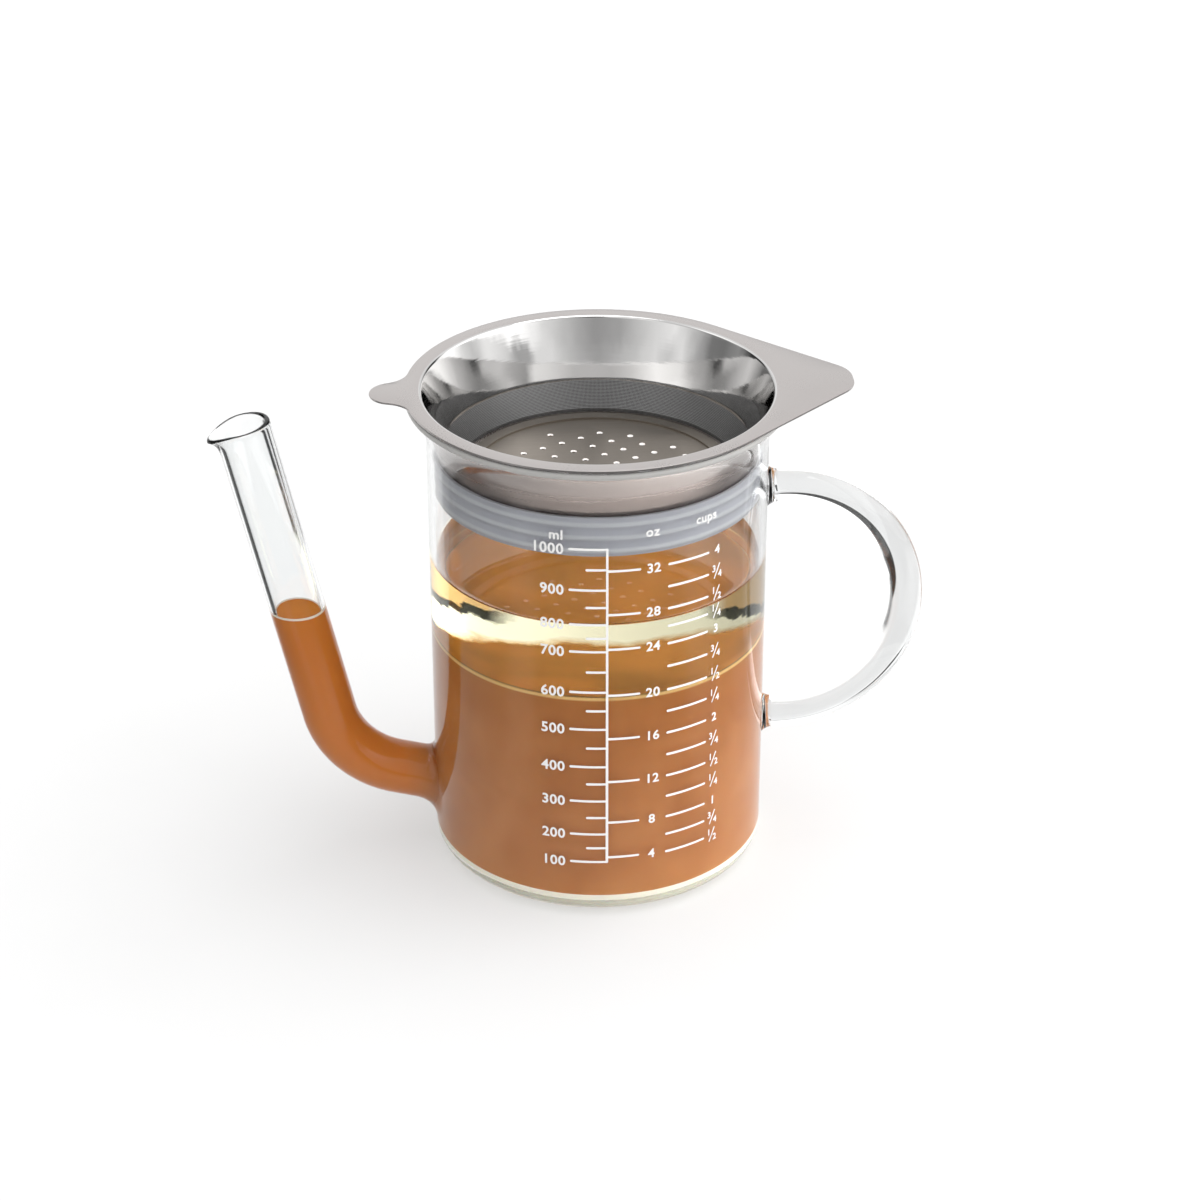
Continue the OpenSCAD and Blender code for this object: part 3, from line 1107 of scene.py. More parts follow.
@dataclass(frozen=True)
class MilkySilicone(Finish):
    """Moulded silicone rubber: milky and translucent, with a dull skin, painted paler on its ribs as painted
    highlights.
    """

    title: str = "silicone rubber, milky"
    groove: str = "#CDCED6"
    painted_rib_light: str = "#E6E8EC"
    foot_z: float = 127.0
    pitch_mm: float = 12.8 / 3
    skin_mm: float = 1.5

    def surface(self, tree: Tree, place: Source) -> Source:
        """Build translucent rubber, painted paler on the crests of its ribs, where they are thick and pressed
        to the glass, as painted highlights.

        Args:
            tree: The node tree to add to.
            place: The place that is seen.

        Returns:
            The surface shader.
        """
        height = node(tree, "SeparateXYZ", {0: place}).outputs["Z"]
        turn = {0: height, 1: math.tau / (self.pitch_mm * MM), 2: -math.tau * self.foot_z / self.pitch_mm}
        turn = node(tree, "Math", turn, operation="MULTIPLY_ADD")
        wave = node(tree, "Math", {0: turn}, operation="COSINE")
        # Painted highlight: a paler colour along the crests of the ribs
        crest = node(tree, "MapRange", {"Value": wave, "From Min": -0.1, "From Max": -0.9})
        shade = node(tree, "Mix", {0: crest, 6: linear(self.groove), 7: linear(self.painted_rib_light)}, data_type="RGBA")
        skin = node(tree, "TexNoise", {"Vector": place, "Scale": 1 / (self.skin_mm * MM), "Detail": 3.0})
        rough = node(tree, "MapRange", {"Value": skin, "To Min": 0.3, "To Max": 0.5})
        bump = node(tree, "Bump", {"Height": skin, "Strength": 0.1, "Distance": 0.05 * MM})
        return node(
            tree,
            "BsdfPrincipled",
            {
                "Base Color": shade,
                "Roughness": rough,
                "IOR": 1.41,
                "Transmission Weight": 0.2,
                "Subsurface Weight": 0.4,
                "Subsurface Radius": (1.0, 1.0, 1.0),
                "Subsurface Scale": 2 * MM,
                "Normal": bump,
            },
        )


@dataclass(frozen=True)
class WhiteEnamel(Finish):
    """Ceramic ink, fired onto the glass: opaque white with a slightly uneven film."""

    title: str = "ceramic ink, white"
    colour: str = "#F3F2F1"
    thin: str = "#E9E7E5"
    film_mm: float = 0.8

    def surface(self, tree: Tree, place: Source) -> Source:
        """Build white ink whose film is a little thinner in places.

        Args:
            tree: The node tree to add to.
            place: The place that is seen.

        Returns:
            The surface shader.
        """
        film = node(tree, "TexNoise", {"Vector": place, "Scale": 1 / (self.film_mm * MM), "Detail": 2.0})
        shade = node(tree, "Mix", {0: film, 6: linear(self.thin), 7: linear(self.colour)}, data_type="RGBA")
        return node(tree, "BsdfPrincipled", {"Base Color": shade, "Roughness": 0.42})


@dataclass(frozen=True)
class StudioPaper(Finish):
    """The pale floor: matt white paper, which still takes the object's soft shadow.

    Rings give its brightness by the turn from the front, for mirrors and for light bent by glass. Black cards
    lie where glass bends its dark edges from; each has a slant and its reach along X and Y, in metres.
    """

    title: str = "studio paper, white"
    paper: tuple[str, str] = ("#989898", "#9B9B9B")
    fibre_mm: float = 60.0
    glow: float = 0.44
    near_tone: float = 0.95
    near_reach: Point = (0.09, 0.2)
    far_tone: float = 0.5
    far_reach: Point = (0.6, 1.6)
    mirrored: tuple[Point, ...] = (
        (-180, 1.0), (-118, 1.0), (-106, 0.35), (-63, 0.2), (-57, 0.5), (-45, 0.5), (-40, 0.15), (0, 0.12),
        (48, 0.15), (53, 0.55), (67, 0.55), (73, 0.2), (100, 0.35), (112, 1.0), (180, 1.0),
    )  # fmt: skip
    bent: tuple[Point, ...] = (
        (-180, 1.02), (-118, 1.0), (-100, 0.95), (-60, 1.2), (0, 1.6), (40, 2.2), (90, 2.8), (108, 1.8),
        (120, 0.8), (164, 0.8), (174, 1.0), (180, 1.02),
    )  # fmt: skip
    # A dim band in front, which is what the inside of the glass mirrors to the camera
    ahead: tuple[Point, ...] = ((-180, 0), (-112, 0), (-100, 1), (106, 1), (120, 0), (180, 0))
    band_start: Point = (150.0, 180.0)
    band_end: Point = (360.0, 390.0)
    band_tone: float = 0.12
    cards: tuple[tuple[float, Point, Point], ...] = (
        (0.9, (-0.30, -0.08), (0.05, 0.45)),
        (0.0, (0.225, 1.0), (0.08, 3.0)),
        (0.0, (-0.04, 0.03), (0.25, 0.6)),
    )
    card_tone: float = 0.04
    card_edge: float = 0.008

    def card(self, tree: Tree, place: Source, shape: tuple[float, Point, Point]) -> Source:
        """How much of the light a black card leaves.

        Args:
            tree: The node tree to add to.
            place: The place on the paper.
            shape: The card's slant, and its reach along X and along Y, in metres.

        Returns:
            Nearly 0 on the card, and 1 beside it.
        """
        slant, *sides = shape
        parts = node(tree, "SeparateXYZ", {0: place})
        skewed = {0: parts.outputs["Y"], 1: slant, 2: parts.outputs["X"]}
        skewed = node(tree, "Math", skewed, operation="MULTIPLY_ADD")
        edges = []
        for across, (low, high) in zip((skewed, parts.outputs["Y"]), sides):
            edges.append(node(tree, "Math", {0: across, 1: low}, operation="SUBTRACT"))
            edges.append(node(tree, "Math", {0: high, 1: across}, operation="SUBTRACT"))
        inside, *others = edges
        for edge in others:
            inside = node(tree, "Math", {0: inside, 1: edge}, operation="MINIMUM")
        edge = self.card_edge
        left = {"Value": inside, "From Min": -edge, "From Max": edge, "To Min": 1.0, "To Max": self.card_tone}
        return node(tree, "MapRange", left)

    def tone(self, tree: Tree, place: Source, through: Source) -> Source:
        """How bright the paper is in mirrors and through glass.

        Args:
            tree: The node tree to add to.
            place: The place on the paper.
            through: 1 for light that came through glass.

        Returns:
            The brightness: dim in front in mirrors, and bright in front for what stands behind glass.
        """
        reach = node(tree, "VectorMath", {0: place}, operation="LENGTH")
        start, full = self.near_reach
        away = node(tree, "MapRange", {"Value": reach, "From Min": start, "From Max": full})
        mirrored = ring_ramp(tree, place, self.mirrored)
        mirrored = node(tree, "Mix", {0: away, 2: self.near_tone, 3: mirrored}, data_type="FLOAT")
        band = window(tree, reach, self.band_start, self.band_end)
        band = all_of(tree, band, ring_ramp(tree, place, self.ahead))
        dim = node(tree, "MapRange", {"Value": band, "To Min": 1.0, "To Max": self.band_tone})
        cards = [self.card(tree, place, shape) for shape in self.cards]
        bent = all_of(tree, ring_ramp(tree, place, self.bent), dim, *cards)
        tone = node(tree, "Mix", {0: through, 2: mirrored, 3: bent}, data_type="FLOAT")
        start, full = self.far_reach
        fall = {"Value": reach, "From Min": start, "From Max": full, "To Min": 1.0, "To Max": self.far_tone}
        return all_of(tree, tone, node(tree, "MapRange", fall))

    def surface(self, tree: Tree, place: Source) -> Source:
        """Build matt paper that looks white to the camera, and toned in mirrors and through glass.

        Args:
            tree: The node tree to add to.
            place: The place that is seen.

        Returns:
            The surface shader.
        """
        path = node(tree, "LightPath").outputs
        glossy, through = path["Is Glossy Ray"], path["Is Transmission Ray"]
        bent = node(tree, "Math", {0: glossy, 1: through}, operation="MAXIMUM")
        tone = self.tone(tree, place, through)
        tone = node(tree, "Mix", {0: bent, 2: 1.0, 3: tone}, data_type="FLOAT")
        fibre = node(tree, "TexNoise", {"Vector": place, "Scale": 1 / (self.fibre_mm * MM), "Detail": 2.0})
        low, high = self.paper
        paper = node(tree, "Mix", {0: fibre, 6: linear(low), 7: linear(high)}, data_type="RGBA")
        shade = node(tree, "VectorMath", {0: paper, "Scale": tone}, operation="SCALE")
        matt = node(tree, "BsdfDiffuse", {"Color": shade})
        seen = node(tree, "Math", {0: bent, 1: path["Is Camera Ray"]}, operation="MAXIMUM")
        glow = node(tree, "Emission", {"Strength": all_of(tree, seen, self.glow, tone)})
        return node(tree, "AddShader", {0: matt, 1: glow})


# ---- The glass jug ----


@dataclass
class GlassJug:
    """The jug's blown wall, its spout and its handle, which are fused to one piece of glass."""

    outer_r: float = 53.0
    height: float = 158.7
    wall: float = 2.0
    floor_z: float = 3.8
    punt_depth: float = 0.8
    punt_slope_w: float = 8.0
    corner_r: float = 7.0
    foot_extra: float = 0.5
    foot_ring_w: float = 9.0
    flare_h: float = 16.5
    rim_flare: float = 6.2
    bead_r: float = 1.6
    # Where the bead's arc starts past the wall, in degrees
    bead_join: float = 6.0
    spout_r: float = 8.75
    bore_r: float = 7.0
    spout_root_h: float = 23.0
    lead_rise: float = 14.5
    lead_len: float = 13.75
    neck_len: float = 6.2
    spread_low: float = 7.0
    spread_high: float = 3.0
    bend_r: float = 29.2
    lean: float = 12.5
    mouth_drop: float = 4.9
    lip_len: float = 14.2
    lip_cut: float = 3.4
    lip_reach: float = 2.9
    rim_cut: float = 1.4
    beak_turn: float = 7.0
    beak_focus: int = 3
    handle_d: float = 10.2
    bow_r: float = 41.0
    handle_mid_h: float = 82.5
    handle_lead: float = 5.0
    weld_d: float = 13.2
    weld_len: float = 3.8
    hole_ease: float = 0.08
    hole_start: float = -8.0
    neck_steps: int = 12
    lead_steps: int = 3
    bend_steps: int = 36
    leg_steps: int = 16
    lip_steps: int = 12
    edge_steps: int = 6
    weld_steps: int = 12
    bow_steps: int = 72
    finish: Finish = field(default_factory=BlownGlass)

    @property
    def inner_r(self) -> float:
        """Radius of the bore."""
        return self.outer_r - self.wall

    @property
    def inner_corner_r(self) -> float:
        """Radius of the corner inside, where the glass is left thick."""
        return self.corner_r - self.wall + self.foot_extra

    @property
    def mid_r(self) -> float:
        """Radius at the middle of the wall."""
        return self.outer_r - self.wall / 2

    @property
    def root(self) -> Vector:
        """Where the spout's axis leaves the wall."""
        return Vector((-self.mid_r, 0, self.spout_root_h))

    @property
    def lead_dir(self) -> Vector:
        """Direction of the spout as it leaves the wall."""
        rise = math.radians(self.lead_rise)
        return Vector((-math.cos(rise), 0, math.sin(rise)))

    @property
    def lead_up(self) -> Vector:
        """Direction square to the lead, in the spout's plane."""
        rise = math.radians(self.lead_rise)
        return Vector((math.sin(rise), 0, math.cos(rise)))

    @property
    def leg_dir(self) -> Vector:
        """Direction of the straight, leaning part."""
        lean = math.radians(self.lean)
        return Vector((-math.sin(lean), 0, math.cos(lean)))

    @property
    def leg_in(self) -> Vector:
        """Direction from the leaning part towards the jug, square to it."""
        lean = math.radians(self.lean)
        return Vector((math.cos(lean), 0, math.sin(lean)))

    @property
    def bend_centre(self) -> Vector:
        """Centre of the bend."""
        return self.root + self.lead_len * self.lead_dir + self.bend_r * self.lead_up

    @property
    def bend_turn(self) -> float:
        """Turn of the bend, in degrees."""
        return 90 - self.lead_rise - self.lean

    @property
    def leg_start(self) -> Vector:
        """Where the leaning part starts."""
        return self.bend_centre - self.bend_r * self.leg_in

    @property
    def leg_len(self) -> float:
        """Length of the leaning part, without the drawn mouth.

        Returns:
            The length.
        """
        lean = math.radians(self.lean)
        top = self.height - self.mouth_drop - self.leg_start.z - self.spout_r * math.sin(lean)
        return top / math.cos(lean) - self.lip_len

    def outline(self) -> list[Point]:
        """Outline of the blown wall, from under the foot, over the rim, to the middle of the floor.

        Returns:
            Radius and height of each corner.
        """
        foot_r = self.outer_r - self.corner_r
        punt_r = foot_r - self.foot_ring_w
        rim_r = self.outer_r + self.rim_flare
        bead_mid_r, bead_z = rim_r - self.bead_r, self.height - self.bead_r
        flare_z = self.height - self.flare_h
        turn = 2 * math.atan((bead_mid_r - self.mid_r) / (bead_z - flare_z))
        flare_r = (bead_z - flare_z) / math.sin(turn)
        turn = math.degrees(turn)
        flare_x = self.mid_r + flare_r
        inner_corner = self.inner_corner_r
        slope_r, slope_steps = punt_r - self.punt_slope_w, 6
        under = [(0, self.punt_depth), *stretch((0, self.punt_depth), (slope_r, self.punt_depth), 6)]
        slope = []
        for i in range(slope_steps + 1):
            t = i / slope_steps
            slope.append((slope_r + self.punt_slope_w * t, self.punt_depth * (1 - t * t * (3 - 2 * t))))
        outer_wall = stretch((self.outer_r, self.corner_r), (self.outer_r, flare_z), 3)
        inner_wall = stretch((self.inner_r, flare_z), (self.inner_r, self.floor_z + inner_corner), 3)
        floor = stretch((self.inner_r - inner_corner, self.floor_z), (0, self.floor_z), 6)
        return [
            *under,
            *slope,
            *arc(foot_r, self.corner_r, self.corner_r, -90, 0),
            *outer_wall,
            *arc(flare_x, flare_z, flare_r - self.wall / 2, 180, 180 - turn),
            *arc(bead_mid_r, bead_z, self.bead_r, self.bead_join - turn, 180 - self.bead_join - turn),
            *arc(flare_x, flare_z, flare_r + self.wall / 2, 180 - turn, 180),
            *inner_wall,
            *arc(self.inner_r - inner_corner, self.floor_z + inner_corner, inner_corner, 0, -90),
            *floor,
            (0, self.floor_z),
        ]

    def start_ring(self, name: str, radius: float, along: float) -> Piece:
        """Place a ring square to the lead, and open it for editing.

        Args:
            name: Name of the new piece.
            radius: The ring's radius.
            along: How far along the lead it stands.

        Returns:
            The ring, in edit mode and selected.
        """
        piece = ring(name, radius, self.root + along * self.lead_dir, self.lead_rise - 90)
        start_edit(piece)
        return piece

    def pull(self, direction: Vector, length: float, steps: int = 1) -> None:
        """Pull the selected ring on along a direction, in equal steps."""
        for _ in range(steps):
            extrude(direction * length / steps)

    def bend(self, turn: float) -> None:
        """Sweep the selected ring round the bend by a turn in degrees."""
        sweep(turn, self.bend_steps, self.bend_centre)

    def narrow(self, ratio: float, centre: Vector) -> None:
        """Scale the selected ring about its centre."""
        bpy.ops.transform.resize(value=(ratio,) * 3, center_override=at(centre))

    def hole_cutter(self) -> Piece:
        """A round rod along the lead, a little thinner than the bore, that cuts the spout's hole.

        Returns:
            The rod, closed at both ends.
        """
        piece = self.start_ring("hole_cutter", self.bore_r - self.hole_ease, self.hole_start)
        self.pull(self.lead_dir, self.lead_len - self.hole_start, 4)
        end_edit()
        self.cap_ends(piece)
        return piece

    def cap_ends(self, piece: Piece) -> None:
        """Fill the open rings of a rod.

        Args:
            piece: The rod.
        """
        start_edit(piece)
        pick_open_rings()
        bpy.ops.mesh.edge_face_add()
        close_seams()
        end_edit()

    def spout_wall(self) -> Piece:
        """The spout's wall: out along the lead, round the bend, up, over the mouth's edge and back inside.

        Returns:
            The wall, whose two ends meet inside the jug's wall.
        """
        half = (self.spout_r - self.bore_r) / 2
        rise = self.leg_len + self.lip_len - half
        piece = self.start_ring("spout_wall", self.spout_r, 0)
        self.pull(self.lead_dir, self.neck_len, self.neck_steps)
        self.pull(self.lead_dir, self.lead_len - self.neck_len, self.lead_steps)
        self.bend(self.bend_turn)
        self.pull(self.leg_dir, self.leg_len, self.leg_steps)
        self.pull(self.leg_dir, self.lip_len - half, self.lip_steps)
        radius, height = self.spout_r, 0.0
        for i in range(1, self.edge_steps + 1):
            roll = math.pi * i / self.edge_steps
            new_radius = self.spout_r - half + half * math.cos(roll)
            new_height = half * math.sin(roll)
            self.pull(self.leg_dir, new_height - height)
            centre = self.leg_start + (rise + new_height) * self.leg_dir
            self.narrow(new_radius / radius, centre)
            radius, height = new_radius, new_height
        self.pull(-self.leg_dir, self.lip_len - half, self.lip_steps)
        self.pull(-self.leg_dir, self.leg_len, self.leg_steps)
        self.bend(-self.bend_turn)
        self.pull(-self.lead_dir, self.lead_len - self.neck_len, self.lead_steps)
        self.pull(-self.lead_dir, self.neck_len, self.neck_steps)
        end_edit()
        shaped(piece, self.neck_rule)
        shaped(piece, self.lip_rule)
        start_edit(piece)
        pick_open_rings()
        bpy.ops.mesh.bridge_edge_loops()
        close_seams()
        end_edit()
        return piece

    def wall_reach(self, radius: float, angle: float, target_r: float) -> float:
        """How far along the lead a line at a radius and angle about its axis meets a round wall.

        Args:
            radius: The line's distance from the axis.
            angle: Its angle about the axis.
            target_r: The round wall's radius.

        Returns:
            The distance.
        """
        side, up = radius * math.sin(angle), radius * math.cos(angle)
        across = math.sqrt(target_r**2 - side**2)
        return (self.root.x + up * self.lead_up.x + across) / math.cos(math.radians(self.lead_rise))

    def on_lead(self, along: float, radius: float, angle: float) -> Vector:
        """A point about the lead's axis, the angle counted from its upper side."""
        out = math.cos(angle) * self.lead_up + math.sin(angle) * Vector((0, 1, 0))
        return self.root + along * self.lead_dir + radius * out

    def neck_rule(self, place: Vector) -> Vector:
        """Spread the neck's outside onto the wall, and end both its faces inside the wall.

        Args:
            place: A point of the piece.

        Returns:
            Where it goes.
        """
        offset = place - self.root
        along = offset.dot(self.lead_dir)
        if along > self.neck_len - NEAR or place.z > self.spout_root_h + 3 * self.spout_r:
            return place
        up, side = offset.dot(self.lead_up), offset.y
        angle, radius = math.atan2(side, up), math.hypot(side, up)
        t = 1 - along / self.neck_len
        if radius < (self.spout_r + self.bore_r) / 2:
            end = self.wall_reach(self.bore_r, angle, self.mid_r)
            return self.on_lead(self.neck_len + (end - self.neck_len) * t, radius, angle)
        mean, swing = (self.spread_high + self.spread_low) / 2, (self.spread_high - self.spread_low) / 2
        spread_r = self.spout_r + mean + swing * math.cos(angle)
        start = self.on_lead(self.neck_len, self.spout_r, angle)
        corner = self.on_lead(self.wall_reach(self.spout_r, angle, self.outer_r), self.spout_r, angle)
        end = self.on_lead(self.wall_reach(spread_r, angle, self.outer_r), spread_r, angle)
        if along < NEAR:
            return self.on_lead(self.wall_reach(spread_r, angle, self.mid_r), spread_r, angle)
        # The last step of the curve goes into the wall, so the curve itself ends one step before
        t = min(1.0, t * self.neck_steps / (self.neck_steps - 1))
        return (1 - t) ** 2 * start + 2 * t * (1 - t) * corner + t * t * end

    def lip_rule(self, place: Vector) -> Vector:
        """Draw the mouth out and down on its pouring side.

        Args:
            place: A point of the piece.

        Returns:
            Where it goes.
        """
        offset = place - self.leg_start
        along = offset.dot(self.leg_dir)
        half = (self.spout_r - self.bore_r) / 2
        rise = self.lip_len - half
        t = (along - self.leg_len) / rise
        if t <= 0:
            return place
        inward = offset.dot(self.leg_in)
        angle = math.atan2(place.y, inward)
        t_wall = min(1.0, t)
        ahead = max(0.0, -math.cos(angle)) ** self.beak_focus
        out = self.lip_reach * t_wall**self.beak_turn * ahead
        drop = self.rim_cut + (self.lip_cut - self.rim_cut) * ahead
        return place - out * self.leg_in - drop * t_wall * self.leg_dir

    def handle(self) -> Piece:
        """The solid bar: out of its upper weld, round the bow and into its lower weld.

        Returns:
            The bar, closed at both ends.
        """
        bar_r, weld_r = self.handle_d / 2, self.weld_d / 2
        top = self.handle_mid_h + self.bow_r
        piece = ring("handle_rod", weld_r, (self.mid_r, 0, top), 90, filled=True)
        stations = [(self.outer_r - self.mid_r, weld_r)]
        for i in range(1, self.weld_steps + 1):
            t = i / self.weld_steps
            reach = self.outer_r - self.mid_r + self.weld_len * t
            stations.append((reach, weld_r - (weld_r - bar_r) * t * (2 - t)))
        stations.append((self.outer_r - self.mid_r + self.handle_lead, bar_r))
        start_edit(piece)
        out, last, radius = Vector((1, 0, 0)), 0.0, weld_r
        for reach, new_radius in stations:
            self.pull(out, reach - last)
            self.narrow(new_radius / radius, Vector((self.mid_r + reach, 0, top)))
            last, radius = reach, new_radius
        centre = Vector((self.outer_r + self.handle_lead, 0, self.handle_mid_h))
        sweep(180, self.bow_steps, centre)
        bottom = self.handle_mid_h - self.bow_r
        for reach, new_radius in [*reversed(stations[:-1]), (0.0, weld_r)]:
            self.pull(-out, last - reach)
            self.narrow(new_radius / radius, Vector((self.mid_r + reach, 0, bottom)))
            last, radius = reach, new_radius
        close_seams()
        end_edit()
        return piece

    def build(self) -> list[Piece]:
        """Blow the wall, open it for the spout, and fuse spout and handle to it.

        Returns:
            The finished pieces.
        """
        glass = turned("glass_jug", self.outline())
        fused(glass, self.hole_cutter(), Join.CUT)
        fused(glass, self.spout_wall())
        fused(glass, self.handle())
        start_edit(glass)
        close_seams()
        end_edit()
        smooth(glass)
        self.finish.dress(glass)
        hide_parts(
            "jug_body",
            "spout_neck",
            "spout_bend",
            "spout_tube",
            "pouring_lip",
            "handle_bar",
            "handle_top_weld",
            "handle_bottom_weld",
        )
        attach(glass, Body.JUG.value)
        return [glass]


# ---- What the jug holds ----


@dataclass
class Contents:
    """Gravy up to its line, in the jug and in the spout, and clear fat above it in the jug."""

    jug: GlassJug
    gravy_z: float = 79.0
    gravy_flat_z: float = 80.4
    fat_z: float = 104.9
    fat_flat_z: float = 103.4
    spout_z: float = 86.4
    overlap: float = 0.08
    gravy_brim_w: float = 5.0
    fat_brim_w: float = 4.0
    fat_sunk: float = 0.4
    spout_foot: float = -6.0
    # How the gravy in the spout draws in from the glass: each ring's size by the last, and how deep it sinks
    spout_rings: tuple[Point, ...] = ((0.96, 0.35), (0.94, 0.25), (0.9, 0.15))
    gravy_finish: Finish = field(default_factory=Gravy)
    fat_finish: Finish = field(default_factory=ClearFat)

    def brim(self, radius: float, rim_z: float, flat_z: float, width: float) -> list[Point]:
        """A liquid's surface from the glass inward: it climbs at the glass and levels off.

        Args:
            radius: Radius at the glass.
            rim_z: Height at the glass.
            flat_z: Height where it is level.
            width: How far from the glass it levels off.

        Returns:
            Radius and height of each corner, in to the axis.
        """
        steps = 10
        curve = []
        for i in range(steps + 1):
            t = i / steps
            curve.append((radius - width * t, flat_z + (rim_z - flat_z) * (1 - t) ** 3))
        inside = stretch((radius - width, flat_z), (0, flat_z), 4)
        return [*curve, *inside, (0, flat_z)]

    def jug_gravy(self) -> Piece:
        """The gravy that fills the jug.

        Returns:
            The gravy.
        """
        jug = self.jug
        radius = jug.inner_r + self.overlap
        floor = jug.floor_z - self.overlap
        corner = jug.inner_corner_r + self.overlap
        wall = stretch((radius, floor + corner), (radius, self.gravy_z), 4)
        outline = [
            (0, floor),
            *stretch((0, floor), (radius - corner, floor), 6),
            *arc(radius - corner, floor + corner, corner, -90, 0),
            *wall,
            *self.brim(radius, self.gravy_z, self.gravy_flat_z, self.gravy_brim_w),
        ]
        return turned("gravy", outline)

    def spout_gravy(self) -> Piece:
        """The gravy that stands in the spout, level at its own height.

        Returns:
            The gravy, closed at both ends.
        """
        jug = self.jug
        radius = jug.bore_r + self.overlap
        rise = (self.spout_z - jug.leg_start.z) / jug.leg_dir.z
        piece = jug.start_ring("spout_gravy", radius, self.spout_foot)
        jug.pull(jug.lead_dir, jug.lead_len - self.spout_foot, 6)
        jug.bend(jug.bend_turn)
        jug.pull(jug.leg_dir, rise, 8)
        end_edit()

        def level(place: Vector) -> Vector:
            """Slide the last ring along the tube until it is level.

            Args:
                place: A point of the piece.

            Returns:
                Where it goes.
            """
            along = (place - jug.leg_start).dot(jug.leg_dir)
            if along < rise - NEAR:
                return place
            return place + jug.leg_dir * ((self.spout_z - place.z) / jug.leg_dir.z)

        shaped(piece, level)
        # Edges and faces are deselected first, then the top ring is picked by its height
        start_edit(piece)
        bpy.ops.mesh.select_all(action="DESELECT")
        end_edit()
        for vertex in piece.data.vertices:
            vertex.select = vertex.co.z > (self.spout_z - NEAR) * MM
        hold(piece)
        bpy.ops.object.mode_set(mode="EDIT")
        middle = jug.leg_start + jug.leg_dir * rise
        for shrink, sink in self.spout_rings:
            extrude((0, 0, -sink))
            jug.narrow(shrink, Vector((middle.x, 0, self.spout_z - sink)))
        bpy.ops.mesh.edge_face_add()
        end_edit()
        jug.cap_ends(piece)
        return piece

    def fat(self) -> Piece:
        """The clear fat on the gravy, whose foot is sunk in the gravy so that no gap shows.

        Returns:
            The fat.
        """
        radius = self.jug.inner_r + self.overlap / 2
        floor = self.gravy_z - self.fat_sunk
        outline = [
            (0, floor),
            *stretch((0, floor), (radius, floor), 6),
            (radius, floor),
            *stretch((radius, floor), (radius, self.fat_z), 3),
            *self.brim(radius, self.fat_z, self.fat_flat_z, self.fat_brim_w),
        ]
        return turned("fat", outline)

    def build(self) -> list[Piece]:
        """Pour gravy and fat.

        Returns:
            The finished pieces.
        """
        gravy = fused(self.jug_gravy(), self.spout_gravy())
        fat = self.fat()
        for piece, finish in ((gravy, self.gravy_finish), (fat, self.fat_finish)):
            smooth(piece)
            finish.dress(piece)
            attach(piece, Body.JUG.value)
        return [gravy, fat]


# ---- The printed scale ----


